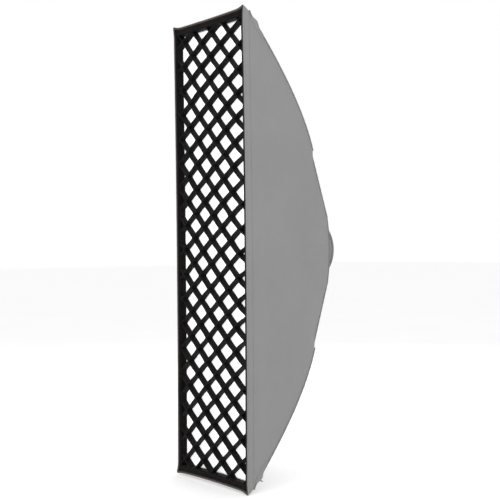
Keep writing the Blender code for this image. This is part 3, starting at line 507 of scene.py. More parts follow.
side_panel(1, 1, "side_right_upper", "side_panel_right")
side_panel(1, -1, "side_right_lower", "side_panel_right")
side_panel(-1, 1, "side_left_upper", "side_panel_left")
side_panel(-1, -1, "side_left_lower", "side_panel_left")
end_panel(1, "end_top", "end_panel_top")
end_panel(-1, "end_bottom", "end_panel_bottom")


# piping along the four corner seams
def corner_frame(sx, sz, v):
    x, d, z = corner_line(v)
    p = world(sx * x, d, sz * z)
    t = np.gradient(p, axis=0)
    t /= np.linalg.norm(t, axis=-1, keepdims=True)
    side = np.zeros_like(p)
    side[:, 0] = sx
    side -= t * (side * t).sum(-1, keepdims=True)
    side /= np.linalg.norm(side, axis=-1, keepdims=True)
    up = np.cross(t, side)
    if (up[:, 2] * sz).sum() < 0:
        up = -up
    return p, t, side, up


for tag, (sx, sz) in TAGS.items():
    v = np.unique(np.concatenate([np.linspace(0, SPLIT, 30), np.linspace(SPLIT, 0.999, 100)]))
    p, t, side, up = corner_frame(sx, sz, v)
    s = np.concatenate([[0], np.cumsum(np.linalg.norm(np.diff(p, axis=0), axis=-1))])
    rows = []
    for i in range(len(v)):
        swell = 1 + 0.10 * math.sin(s[i] * 2 * math.pi / 0.019) + 0.12 * wob(p[i], 40.0, 2.0)
        centre = p[i] + (side[i] + up[i]) * 0.00045
        ring = []
        for k in range(10):
            a = 2 * math.pi * k / 10
            ring.append(centre + side[i] * 0.0017 * swell * math.cos(a) + up[i] * 0.0017 * swell * math.sin(a))
        rows.append(ring)
    ob = tube_rows(f"corner_piping_{tag}", rows, M["piping"], angle=60)
    fold(ob)


# ===================================================== rim: band, binding, lining
def half_x(d):
    return 0.1467 + (d - 0.3600) * (HALF_X - 0.1467) / (DEPTH - 0.3600)


def half_z(d):
    return 0.5925 + (d - 0.3600) * (HALF_Z - 0.5925) / (DEPTH - 0.3600)


def rect_half(hx, hz, r, sgn, n_side=70, n_top=26, n_arc=7):
    """Upper or lower half of a rounded rectangle, from the right side over the end to the left side: points, outward normals and the distance to the nearest corner."""
    pts, nrm = [], []
    for i in range(n_side):
        pts.append((hx, (hz - r) * i / n_side))
        nrm.append((1, 0))
    for i in range(n_arc):
        a = math.pi / 2 * i / n_arc
        pts.append((hx - r + r * math.cos(a), hz - r + r * math.sin(a)))
        nrm.append((math.cos(a), math.sin(a)))
    for i in range(n_top):
        pts.append((hx - r - 2 * (hx - r) * i / n_top, hz))
        nrm.append((0, 1))
    for i in range(n_arc):
        a = math.pi / 2 + math.pi / 2 * i / n_arc
        pts.append((-hx + r + r * math.cos(a), hz - r + r * math.sin(a)))
        nrm.append((math.cos(a), math.sin(a)))
    for i in range(n_side + 1):
        pts.append((-hx, (hz - r) * (1 - i / n_side)))
        nrm.append((-1, 0))
    pts, nrm = np.array(pts), np.array(nrm)
    near = np.hypot(np.abs(pts[:, 0]) - hx, pts[:, 1] - hz)
    pts[:, 1] *= sgn
    nrm[:, 1] *= sgn
    return pts, nrm, near


def rim_sweep(name, section, mat, sgn, radius=0.006, shape=None, hx=half_x, hz=half_z, angle=50):
    """Sweep a section of (outward, depth) points round half of the rim. shape(section index, point, corner distance) adds (outward, depth)."""
    loops = []
    near = None
    for k, (n, d) in enumerate(section):
        pts, nrm, near = rect_half(hx(d) + n, hz(d) + n, max(radius + n, 0.0012), sgn)
        loops.append((pts, nrm, d))
    rows = []
    for i in range(len(near)):
        row = []
        for k, (pts, nrm, d) in enumerate(loops):
            q = world(pts[i, 0], d, pts[i, 1])
            if shape:
                dn, dd = shape(k, q, near[i])
                q = world(pts[i, 0] + nrm[i, 0] * dn, d + dd, pts[i, 1] + nrm[i, 1] * dn)
            row.append(q)
        rows.append(row)
    ob = tube_rows(name, rows, mat, angle=angle)
    return fold(ob)


def outline(c, rn, rd, count=12):
    return [(c[0] + rn * math.cos(2 * math.pi * k / count), c[1] + rd * math.sin(2 * math.pi * k / count)) for k in range(count)]


def band_shape(k, q, near):
    return 0.00035 * wob(q, 45.0, 4.0), 0.0


def binding_shape(k, q, near):
    a = 2 * math.pi * k / 12
    fat = 0.0009 * math.exp(-((near / 0.010) ** 2)) + 0.00025 * wob(q, 60.0, 8.0)
    return fat * math.cos(a) + 0.0003 * wob(q, 22.0, 2.0), fat * math.sin(a) + 0.0004 * wob(q, 18.0, 6.0)


def lining_shape(k, q, near):
    return (0.0005 * wob(q, 55.0, 12.0) + 0.0004 * wob(q, 140.0, 3.0)) if k in (0, 1, 2, 3, 4) else 0.0, 0.0


BAND = [(0.0004, 0.3550), (0.0006, 0.3560), (0.0007, 0.3640), (0.0008, 0.3720), (0.0010, 0.3780), (0.0008, 0.3792), (0.0003, 0.3800), (-0.0004, 0.3800), (-0.0008, 0.3793), (-0.0008, 0.3780), (-0.0006, 0.3700), (-0.0006, 0.3600), (-0.0004, 0.3552)]
LINING = [(-0.0030, 0.3612), (-0.0033, 0.3650), (-0.0034, 0.3700), (-0.0033, 0.3750), (-0.0028, 0.3782), (-0.0010, 0.3788), (-0.0010, 0.3700), (-0.0010, 0.3612)]
for sgn, word in ((1, "upper"), (-1, "lower")):
    ob = rim_sweep(f"lip_band_{word}", BAND, M["side"], sgn, radius=0.005, shape=band_shape)
    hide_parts("front_lip_band")
    ob = rim_sweep(f"lip_binding_{word}", outline((-0.0026, 0.3788), 0.0019, 0.0015), M["binding"], sgn, radius=0.005, shape=binding_shape)
    ob = rim_sweep(f"lip_lining_{word}", LINING, M["loop"], sgn, radius=0.005, shape=lining_shape)


# stitches: short raised threads, end to end
def stitches(name, pts, nrm, length, radius, mat, sgn=None, body=None, share=0.68):
    """Lay stitches of the given length along a chain of points, standing a little out along the normals."""
    pts, nrm = np.asarray(pts), np.asarray(nrm)
    seg = np.linalg.norm(np.diff(pts, axis=0), axis=-1)
    s = np.concatenate([[0], np.cumsum(seg)])
    count = int(s[-1] / length)
    verts, faces = [], []
    for c in range(count):
        a, b = c * length + length * (1 - share) / 2, (c + 1) * length - length * (1 - share) / 2
        pa, pb, pm = (np.array([np.interp(q, s, pts[:, k]) for k in range(3)]) for q in (a, b, (a + b) / 2))
        n = np.array([np.interp((a + b) / 2, s, nrm[:, k]) for k in range(3)])
        n /= np.linalg.norm(n)
        t = (pb - pa) / np.linalg.norm(pb - pa)
        w = np.cross(t, n)
        base = len(verts)
        verts.append(pa - n * radius * 0.6)
        for q, r in ((pa * 0.8 + pb * 0.2, 0.8), (pa * 0.2 + pb * 0.8, 0.8)):
            for k in range(6):
                ang = 2 * math.pi * k / 6
                verts.append(q + (w * math.cos(ang) + n * (math.sin(ang) + 0.25)) * radius * r)
        verts.append(pb - n * radius * 0.6)
        for k in range(6):
            m = (k + 1) % 6
            faces.append((base, base + 1 + k, base + 1 + m))
            faces.append((base + 1 + k, base + 7 + k, base + 7 + m, base + 1 + m))
            faces.append((base + 13, base + 7 + m, base + 7 + k))
    ob = obj_from(name, verts, faces, mat, 60)
    return fold(ob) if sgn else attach(ob, body)


def rim_line(n, d, sgn, radius=0.006, inward=False, depth_normal=False, hx=half_x, hz=half_z):
    pts, nrm, near = rect_half(hx(d) + n, hz(d) + n, max(radius + n, 0.0012), sgn)
    p = world(pts[:, 0], d, pts[:, 1])
    q = np.stack([nrm[:, 0], np.zeros(len(nrm)), nrm[:, 1]], axis=-1)
    if inward:
        q = -q
    if depth_normal:
        q = np.tile([0.0, -1.0, 0.0], (len(nrm), 1))
    return p, q


for sgn, word in ((1, "upper"), (-1, "lower")):
    p, q = rim_line(0.0013, 0.3582, sgn)
    stitches(f"lip_stitch_rear_{word}", p, q, 0.0045, 0.00042, M["thread_grey"], sgn)
    p, q = rim_line(0.0011, 0.3752, sgn)
    stitches(f"lip_stitch_front_{word}", p, q, 0.0045, 0.00042, M["thread_grey"], sgn)


# ============================================================== front grid
GRID_LO, GRID_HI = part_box("grid_lattice")
GRID_X, GRID_Z = GRID_HI[0], GRID_HI[2]
GRID_FRONT = REAR_Y - GRID_LO[1]
GRID_BACK = REAR_Y - GRID_HI[1]
# the soft grid hangs askew: where its middle crossing is, its pitch, how its columns lean, its rows drop and its cells shorten towards +X, and how they grow downwards
START_X, START_Z = -0.0024, -0.0035
STEP_X, STEP_Z = 0.0396, 0.0318
LEAN, DROP, FAN, SAG = 0.0026, 0.0019, 0.00035, 0.000031
STEPS = (0.0, 0.035, 0.13, 0.28, 0.5, 0.72, 0.87, 0.965)
SHARES = (0.0, 0.05, 0.28, 0.5, 0.72, 0.95, 1.0)


def sway(x, z, share):
    """The strips are cloth, so they lean and bow a little. The rim of the lattice stays put."""
    hold = max(0.0, min(1.0, (GRID_X - abs(x)) / 0.03, (GRID_Z - abs(z)) / 0.03))
    loose = 0.6 + 0.4 * share
    dx = 0.0019 * noise.noise(Vector((x * 21, z * 21, 1.7))) + 0.0013 * noise.noise(Vector((x * 55, z * 55, 4.1 + share * 0.7)))
    dz = 0.0019 * noise.noise(Vector((x * 21, z * 21, 7.3))) + 0.0013 * noise.noise(Vector((x * 55, z * 55, 9.9 + share * 0.7)))
    return dx * hold * loose, dz * hold * loose


def clip(outline, axis, limit, sign):
    """Keep the part of a closed outline where sign * coordinate <= sign * limit."""
    out = []
    for k, p in enumerate(outline):
        q = outline[(k + 1) % len(outline)]
        a, b = sign * (p[axis] - limit), sign * (q[axis] - limit)
        if a <= 0:
            out.append(p)
        if (a < 0 < b) or (b < 0 < a):
            (s, e), (u, v) = ((p, q), (a, b)) if p < q else ((q, p), (b, a))
            share = u / (u - v)
            hit = [s[0] + (e[0] - s[0]) * share, s[1] + (e[1] - s[1]) * share]
            hit[axis] = limit
            out.append(tuple(hit))
    return out


def knot(i, j):
    """The crossing of two strips."""
    return (START_X + i * STEP_X + j * LEAN, START_Z + j * STEP_Z - i * DROP - i * j * FAN - j * j * SAG)


def grid_cells():
    """Diamonds on an even pattern, trimmed to the grid's rectangle, anticlockwise."""
    cells = []
    for i in range(-7, 8):
        for j in range(-24, 25):
            if (i + j) % 2:
                continue
            cell = [knot(i + 1, j), knot(i, j + 1), knot(i - 1, j), knot(i, j - 1)]
            for axis, limit in ((0, GRID_X), (1, GRID_Z)):
                cell = clip(clip(cell, axis, limit, 1), axis, -limit, -1)
            if len(cell) > 2:
                cells.append(cell)
    return cells


STRIP_HALF = 0.0016


def inset(pts, wall):
    """The corners of an anticlockwise convex outline moved in by wall. Where an edge is too short to last, its two corners become one."""
    n = len(pts)
    lines = []
    for k in range(n):
        e = (pts[(k + 1) % n] - pts[k]).normalized()
        lines.append((pts[k] + Vector((-e.y, e.x)) * wall, e))

    def meet(a, b):
        (p, e), (q, f) = lines[a], lines[b]
        det = e.x * -f.y + f.x * e.y
        return p + e * (((q.x - p.x) * -f.y + f.x * (q.y - p.y)) / det)

    live = list(range(n))
    while len(live) > 3:
        m = len(live)
        runs = [(meet(live[k], live[(k + 1) % m]) - meet(live[k - 1], live[k])).dot(lines[live[k]][1]) for k in range(m)]
        worst = min(range(m), key=lambda k: runs[k])
        if runs[worst] > 0.0005:
            break
        live.pop(worst)
    inner = []
    for k in range(n):
        before = max((a for a in live if a <= k - 1), default=live[-1])
        after = min((a for a in live if a >= k), default=live[0])
        inner.append(meet(before, after))
    return inner


def lattice():
    """Each cell is a frame of strips round an opening, and the cells share their edges. The whole lattice is one closed mesh."""
    bm = bmesh.new()
    made, rim = {}, {}

    def vert(p, share):
        key = (round(p[0], 6), round(p[1], 6), share)
        if key not in made:
            dx, dz = sway(p[0], p[1], share)
            made[key] = bm.verts.new(world(p[0] + dx, GRID_BACK + (GRID_FRONT - GRID_BACK) * share, p[1] + dz))
        return made[key]

    for cell in grid_cells():
        pts = [Vector(p) for p in cell]
        n = len(pts)
        around = sum((pts[(k + 1) % n] - pts[k]).length for k in range(n))
        size = sum(pts[k].cross(pts[(k + 1) % n]) for k in range(n)) / 2
        solid = size / around < 0.0015
        loop = []
        corner = inset(pts, STRIP_HALF)
        mid = sum(corner, Vector((0, 0))) / n
        # a sewn crossing is a little rounded, so the openings lose their sharp points
        blunt = [c.lerp(mid, 0.045) for c in corner]
        for k in range(n):
            m = (k + 1) % n
            one = (corner[m] - corner[k]).length < 1e-6
            o = [pts[k].lerp(pts[m], f) for f in STEPS + (1.0,)]
            q = [blunt[k] if one else corner[k].lerp(corner[m], f) for f in STEPS + (1.0,)]
            q[0], q[-1] = blunt[k], blunt[m]
            loop += o[:-1]
            for s in range(len(o) - 1):
                key = tuple(sorted(((round(o[s].x, 6), round(o[s].y, 6)), (round(o[s + 1].x, 6), round(o[s + 1].y, 6)))))
                rim.setdefault(key, []).append((o[s], o[s + 1]))
                if solid:
                    continue
                for share in (0.0, 1.0):
                    face = (vert(o[s], share), vert(o[s + 1], share), vert(q[s + 1], share), vert(q[s], share))
                    bm.faces.new(face[:3] if one else face)
                if one:
                    continue
                for sa, sb in zip(SHARES, SHARES[1:]):
                    bm.faces.new((vert(q[s], sa), vert(q[s + 1], sa), vert(q[s + 1], sb), vert(q[s], sb)))
        if solid:
            for share in (0.0, 1.0):
                bm.faces.new([vert(p, share) for p in loop])
    for used in rim.values():
        if len(used) == 1:
            a, b = used[0]
            for sa, sb in zip(SHARES, SHARES[1:]):
                bm.faces.new((vert(a, sa), vert(b, sa), vert(b, sb), vert(a, sb)))
    bmesh.ops.recalc_face_normals(bm, faces=bm.faces)
    return bm


def half_of(bm, sgn, name):
    """The upper or the lower part of the lattice, cut on the middle plane and closed there."""
    part = bm.copy()
    cut = bmesh.ops.bisect_plane(part, geom=part.verts[:] + part.edges[:] + part.faces[:], dist=1e-7, plane_co=(0, 0, 0), plane_no=(0, 0, -sgn), clear_outer=True)
    bmesh.ops.holes_fill(part, edges=[e for e in part.edges if e.is_boundary], sides=0)
    bmesh.ops.triangulate(part, faces=[f for f in part.faces if len(f.verts) > 4])
    part.verts.index_update()
    verts = [v.co.copy() for v in part.verts]
    faces = [[v.index for v in f.verts] for f in part.faces]
    part.free()
    ob = obj_from(name, verts, faces, M["strip"], 35)
    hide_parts("grid_lattice")
    return fold(ob)


whole = lattice()
half_of(whole, 1, "grid_strips_upper")
half_of(whole, -1, "grid_strips_lower")
whole.free()

BORDER_LO, BORDER_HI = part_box("grid_border")
B_D0, B_D1 = REAR_Y - BORDER_HI[1], REAR_Y - BORDER_LO[1]
TAPE_X = BORDER_HI[0] - GRID_X - 0.0004
TAPE_Z = BORDER_HI[2] - GRID_Z - 0.0004


def tape(sgn, name):
    """The flat hook tape round the grid: wide at the ends, narrow at the sides, with a rolled inner edge."""
    across = [(0.0, -0.0010), (0.03, 0.0002), (0.10, 0.0008), (0.35, 0.0003), (0.62, 0.0006), (0.90, 0.0004), (1.0, -0.0008), (1.0, -0.0026), (0.5, -0.0024), (0.0, -0.0024)]
    rows = []
    ix, iz = GRID_X + 0.0003, GRID_Z + 0.0003
    path = []
    for i in range(140):
        path.append((1, iz * i / 140, 1, 0))
    for i in range(9):
        path.append((None, i / 9, 0, 0))
    for i in range(60):
        path.append((ix - 2 * ix * i / 60, 1, 0, 1))
    for i in range(9):
        path.append((None, 1 + i / 9, 0, 0))
    for i in range(141):
        path.append((-1, iz * (1 - i / 140), 1, 0))
    for a, b, side, end in path:
        row = []
        for k, (u, lift) in enumerate(across):
            wx, wz = u * TAPE_X, u * TAPE_Z
            if side:
                x, z = a * (ix + wx), b
            elif end:
                x, z = a, iz + wz
            elif b < 1:
                q = b * math.pi / 2
                x, z = ix + wx * math.cos(q), iz + wz * math.sin(q)
            else:
                q = (b - 1) * math.pi / 2
                x, z = -ix - wx * math.sin(q), iz + wz * math.cos(q)
            p = world(x, 0, z * sgn)
            lump = (0.0007 * wob(p, 34.0, 21.0) + 0.0004 * wob(p, 120.0, 5.0)) if 0 < k < 6 else 0.0
            row.append(world(x, B_D1 + lift + lump, z * sgn))
        rows.append(row)
    ob = tube_rows(name, rows, M["tape"], angle=50)
    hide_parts("grid_border")
    return fold(ob)


for sgn, word in ((1, "upper"), (-1, "lower")):
    tape(sgn, f"grid_border_{word}")
    for z, label in ((GRID_Z + 0.0028, "inner"), (GRID_Z + TAPE_Z - 0.0022, "outer")):
        line = [world(x, B_D1 + 0.0008, sgn * z) for x in np.linspace(GRID_X - 0.001, -GRID_X + 0.001, 60)]
        stitches(f"border_stitch_{label}_{word}", line, np.tile([0.0, -1.0, 0.0], (60, 1)), 0.0042, 0.0004, M["thread_black"], sgn)


# ======================================================= diffuser and baffle
def white_sheets(node_name, word, mat, bulge, seed):
    lo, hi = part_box(node_name)
    for sgn, half in ((1, "upper"), (-1, "lower")):
        a = np.linspace(-1, 1, 34)
        b = np.linspace(0, 1, 60)
        aa, bb = np.meshgrid(a, b, indexing="ij")
        if node_name == "inner_baffle":
            # corner tabs that reach out to the rods
            tab = np.clip((bb - 0.93) / 0.07, 0, 1)
            wx = 0.100 + 0.006 * tab
            z = bb * hi[2] * (1 - 0.06 * (1 - np.clip(np.abs(aa) * 1.25 - 0.18, 0, 1) ** 2))
            x = aa * wx
        else:
            x, z = aa * hi[0], bb * hi[2]
        d0 = REAR_Y - lo[1]
        billow = bulge * (1 - aa**2) * (1 - bb**4)
        p = world(x, d0 - 0.0003 + billow, sgn * z)
        ripple = 0.0006 * wobs(p, 24.0, seed) * np.clip((1 - np.abs(aa)) * 8, 0, 1)
        p[..., 1] += ripple
        ob = shell(f"{word}_{half}", p, (0, -1, 0), 0.0009, [mat])
        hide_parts(node_name)
        fold(ob)


# the diffuser sheets glow with painted light from their emitting material
white_sheets("front_diffuser", "diffuser_sheet", M["diffuser"], 0.0006, 2.0)
white_sheets("inner_baffle", "baffle_sheet", M["baffle"], 0.002, 5.0)


def hem(node_name, word, mat, width):
    """A doubled tape round the edge of a white sheet."""
    lo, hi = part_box(node_name)
    d1 = REAR_Y - lo[1]
    section = [(0.0, d1 - 0.0016), (0.0, d1 + 0.0004), (-width * 0.5, d1 + 0.0007), (-width, d1 + 0.0004), (-width, d1 - 0.0016)]
    for sgn, half in ((1, "upper"), (-1, "lower")):
        ob = rim_sweep(f"{word}_{half}", section, mat, sgn, radius=0.004, hx=lambda d: hi[0] + 0.0005, hz=lambda d: hi[2] + 0.0005)


# the hem shares the diffuser's emitting material, so it glows with the same painted light
hem("front_diffuser", "diffuser_hem", M["diffuser"], 0.010)


# ================================================================== rear cuff
def rear_outline(a):
    cx, cz = abs(math.cos(a)), abs(math.sin(a))
    top = REAR_CORNER[2] / max(cz, 1e-6)
    if top * cx <= REAR_CORNER[0]:
        return math.hypot(top * cx, REAR_CORNER[2])
    lo, hi = 0.0, top
    for _ in range(40):
        r = (lo + hi) / 2
        u = r * cz / REAR_CORNER[2]
        if r * cx < REAR_SIDE_X + (REAR_CORNER[0] - REAR_SIDE_X) * u * u:
            lo = r
        else:
            hi = r
    return lo


COUNT = 288
rows = []
for i in range(COUNT):
    a = 2 * math.pi * i / COUNT
    out = rear_outline(a) + 0.0012
    # gathers: strongest in the middle of the neck, none at the hem and the outer edge
    g = math.sin(a * 60 + 1.4 * math.sin(a * 7)) * 0.6 + 0.5 * math.sin(a * 37 + 2.0 + math.sin(a * 11))
    knob = math.exp(-(((math.degrees(a) - 180 + 180) % 360 - 180) / 6.0) ** 2) if False else 0.0
    sec = []
    for r, d, amp in (
        (0.0792, 0.0125, 0.0),
        (0.0812, 0.0121, 0.10),
        (0.0822, 0.0134, 0.15),
        (0.0822, 0.0158, 0.20),
        (0.0812, 0.0176, 0.25),
        (0.0808, 0.0200, 0.75),
        (0.0811, 0.0225, 0.95),
        (0.0818, 0.0248, 1.0),
        (None, 0.0268, 0.8),
        (None, 0.0280, 0.45),
        (None, 0.0292, 0.10),
        (None, 0.0302, 0.0),
        (None, 0.0306, 0.0),
        (None, 0.0298, 0.0),
        (0.0800, 0.0296, 0.0),
        (0.0796, 0.0240, 0.0),
        (0.0792, 0.0180, 0.0),
    ):
        if r is None:
            share = {0.0268: 0.16, 0.0280: 0.48, 0.0292: 0.88, 0.0302: 1.0, 0.0306: 0.97, 0.0298: 0.60}[d]
            r = 0.0818 + (out - 0.0818) * share
            off = amp * 0.0007 * g
            sec.append(world(r * math.cos(a), d - off * 0.5, r * math.sin(a)))
            continue
        r += amp * 0.00075 * g
        sec.append(world(r * math.cos(a), d, r * math.sin(a)))
    rows.append(sec)
# the stem of the brake knob passes through the neck; no eyelet is modelled in it
ob = tube_rows("cuff_gathered", rows, M["rear"], closed_path=True, angle=70)
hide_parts("rear_cuff")
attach(ob, "frame")

rows = []
for i in range(COUNT):
    a = 2 * math.pi * i / COUNT
    rib = 0.00018 * math.cos(a * 144)
    rows.append([world((0.0826 + rn * math.cos(q) + rib) * math.cos(a), 0.0146 + rd * math.sin(q), (0.0826 + rn * math.cos(q) + rib) * math.sin(a)) for q in (2 * math.pi * k / 10 for k in range(10)) for rn, rd in ((0.0006, 0.0030),)])
ob = tube_rows("cuff_elastic", rows, M["elastic"], closed_path=True, angle=80)
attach(ob, "frame")

# seam bead where the panels are sewn to the cuff
rows = []
for i in range(COUNT):
    a = 2 * math.pi * i / COUNT
    r0 = rear_outline(a) + 0.0008
    swell = 1 + 0.12 * math.sin(a * 90)
    rows.append([world((r0 + 0.0014 * swell * math.cos(q)) * math.cos(a), 0.0303 + 0.0012 * swell * math.sin(q), (r0 + 0.0014 * swell * math.cos(q)) * math.sin(a)) for q in (2 * math.pi * k / 8 for k in range(8))])
ob = tube_rows("cuff_seam", rows, M["piping"], closed_path=True, angle=80)
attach(ob, "frame")


# ======================================================== corner reinforcement
def corner_patch(tag):
    """A doubled patch sewn over each front corner, with the rod's tip pressing out under it."""
    sx, sz = TAGS[tag]
    es = np.linspace(-1, 1, 37)
    ts = np.linspace(-1, 1, 33)
    pts = np.zeros((len(es), len(ts), 3))
    for i, e in enumerate(es):
        v = 0.945 + 0.041 * e
        x0, d0, z0 = (float(q) for q in corner_line(v))
        width = 0.0155 * (1 - 0.45 * abs(e) ** 5)
        for j, t in enumerate(ts):
            w = abs(t) * width
            if t < 0:
                x, d, z = side_xyz(1 - w / z0, v)
                n = np.array([sx, 0.25, 0.0])
            else:
                x, d, z = end_xyz(1 - w / x0, v)
                n = np.array([0.0, 0.7, sz * 0.7])
            p = world(sx * x, d, sz * z)
            turn = 0.5 * (1 + math.tanh(t / 0.25))
            n = np.array([sx, 0.25, 0.0]) * (1 - turn) + np.array([0.0, 0.7, sz * 0.7]) * turn + np.array([sx * 0.5, 0.45, sz * 0.5]) * math.exp(-((t / 0.3) ** 2))
            n = n / np.linalg.norm(n)
            border = max(abs(e), abs(t))
            settle = 1 - max(0.0, (border - 0.72) / 0.28) ** 2
            lift = 0.0010 + 0.0006 * settle + 0.0048 * settle * math.exp(-((e - 0.30) / 0.42) ** 2 - (t / 0.42) ** 2) + 0.0003 * settle * wob(p, 90.0, 3.0)
            pts[i, j] = p + n * lift
    ob = shell(f"rod_pocket_patch_{tag}", pts, (sx, 0.5, sz), 0.0010, [M["side"]], angle=60)
    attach(ob, f"rib_{tag}")
    return pts


for tag, (sx, sz) in TAGS.items():
    pts = corner_patch(tag)
    for label, line in (("side", pts[2:-2, 3]), ("end", pts[2:-2, -4])):
        n = np.tile([sx, 0.2, 0.0] if label == "side" else [0.0, 0.7, sz * 0.7], (len(line), 1))
        stitches(f"pocket_stitch_{label}_{tag}", line, n, 0.0032, 0.00035, M["thread_grey"], body=f"rib_{tag}")



# a short pull tab sewn into each lower pocket
def strap(name, path, across, half, thick, mat, body):
    """A flat strap along a chain of points, with rounded edges."""
    path = [Vector(p) for p in path]
    rows = []
    for i, c in enumerate(path):
        t = (path[min(i + 1, len(path) - 1)] - path[max(i - 1, 0)]).normalized()
        w = (Vector(across) - t * Vector(across).dot(t)).normalized()
        n = t.cross(w).normalized()
        h = half(i / (len(path) - 1)) if callable(half) else half
        ripple = 0.00012 * math.sin(i * 1.9)
        rows.append([c + w * (h * a) + n * (thick * b + ripple) for a, b in ((-1, -0.25), (-0.97, -0.45), (-0.85, -0.5), (0, -0.5), (0.85, -0.5), (0.97, -0.45), (1, -0.25), (1, 0.25), (0.97, 0.45), (0.85, 0.5), (0, 0.5), (-0.85, 0.5), (-0.97, 0.45), (-1, 0.25))])
    ob = tube_rows(name, rows, mat, angle=60)
    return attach(ob, body)


for tag, (sx, sz) in TAGS.items():
    if sz < 0:
        x0, d0, z0 = (float(q) for q in corner_line(0.968))
        start = Vector(world(sx * (x0 - 0.003), d0 + 0.004, sz * (z0 - 0.003)))
        out = Vector((0.10 * sx, 0.80, sz * 0.58)).normalized()
        path = [start + out * (0.019 * s) + Vector((0, 0.0035, -sz * 0.0025)) * s * s for s in np.linspace(0, 1, 14)]
        strap(f"pocket_pull_tab_{tag}", path, (sx * 0.92, -0.1, sz * 0.2), lambda s: 0.0058 * (1 - 0.55 * s**2.2), 0.0015, M["piping"], f"rib_{tag}")


# inner pockets that hold the rod tips
def axis_of(co):
    c = co.mean(0)
    w, v = np.linalg.eigh(np.cov((co - c).T))
    return c, v[:, -1]


for tag, (sx, sz) in TAGS.items():
    src = frame["nodes"][f"corner_pocket_{tag}"]
    co = np.array([v.co for v in src.data.vertices], float)
    c, ax = axis_of(co)
    if ax[2] * sz < 0:
        ax = -ax
    h = (co - c) @ ax
    lo_h, hi_h = h.min(), h.max()
    u = np.cross(ax, [1.0, 0, 0])
    u /= np.linalg.norm(u)
    w = np.cross(ax, u)
    rows = []
    prof = [(0.0002, hi_h), (0.0040, hi_h - 0.0002), (0.0063, hi_h - 0.0015), (0.0070, hi_h - 0.004)]
    prof += [(0.0070, hi_h - 0.004 - (hi_h - 0.004 - lo_h - 0.005) * k / 8) for k in range(1, 9)]
    prof += [(0.0071, lo_h + 0.004), (0.0072, lo_h + 0.001), (0.0068, lo_h), (0.0056, lo_h), (0.0054, lo_h + 0.002), (0.0054, hi_h - 0.0042), (0.0040, hi_h - 0.0030), (0.0002, hi_h - 0.0028)]
    for k in range(36):
        a = 2 * math.pi * k / 36
        rows.append([c + ax * hh + (u * math.cos(a) + w * math.sin(a)) * (r + (0.00025 * math.sin(9 * a + hh * 700) if 0.006 < r < 0.00705 else 0)) for r, hh in prof])
    ob = tube_rows(f"rod_pocket_{tag}", rows, M["pocket"], closed_path=True, angle=60)
    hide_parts(f"corner_pocket_{tag}")
    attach(ob, f"rib_{tag}")


# ==================================================================== hardware
def finish_hard(node_name, mat, bevel=0.0004, slot_name=None, segments=2):
    ob = frame["nodes"][node_name]
    ob.data.materials.clear()
    ob.data.materials.append(mat)
    ob.data.shade_smooth()
    ob.data.set_sharp_from_angle(angle=math.radians(32))
    if bevel:
        m = ob.modifiers.new("edge", "BEVEL")
        m.width = bevel
        m.segments = segments
        m.limit_method = "ANGLE"
        m.angle_limit = math.radians(40)
        m.harden_normals = True
    return ob


finish_hard("bayonet_ring", M["aluminium"], 0.0005)
finish_hard("speed_ring", M["cast"], 0.0003)
finish_hard("retainer_ring", M["cast"], 0.0003)
finish_hard("spider_bridge", M["cast"], 0.0006)
finish_hard("shaft_tube", M["aluminium"], 0.0)
finish_hard("shaft_nut", M["steel"], 0.0003)
finish_hard("shaft_end_cap", M["plastic"], 0.0)
finish_hard("runner_hub", M["plastic"], 0.0004)
finish_hard("runner_button", M["red"], 0.0003)

# latch spring: its foot sits on the runner and its top is pushed down by the button; the coil is made at one fixed
# length
rows = []
for i in range(3 * 32 + 17):
    a, t = 2 * math.pi * i / 32, i / (3 * 32 + 16)
    c = world(0.0038 * math.cos(a), 0.0900 + 0.0038 * math.sin(a), 0.0094 + 0.0047 * t)
    out = np.array([math.cos(a), -math.sin(a), 0.0])
    rows.append([c + 0.00036 * (out * math.cos(2 * math.pi * k / 8) + np.array([0, 0, 1.0]) * math.sin(2 * math.pi * k / 8)) for k in range(8)])
ob = tube_rows("latch_spring_coil", rows, M["steel"], angle=60)
tuple(world(0.0, 0.0900, 0.0092))
tuple(world(0.0, 0.0900, 0.0143))
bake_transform(ob)
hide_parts("latch_spring")
for tag in TAGS:
    finish_hard(f"rib_bracket_{tag}", M["plastic"], 0.0005)
    finish_hard(f"rib_hinge_pin_{tag}", M["steel"], 0.0)
    finish_hard(f"rib_arm_{tag}", M["aluminium"], 0.0005)
    finish_hard(f"rib_rod_{tag}", M["fibre"], 0.0)
    finish_hard(f"rod_tip_cap_{tag}", M["rubber"], 0.0)
    finish_hard(f"strut_{tag}", M["aluminium"], 0.0004)
    finish_hard(f"strut_pin_{tag}", M["steel"], 0.0)


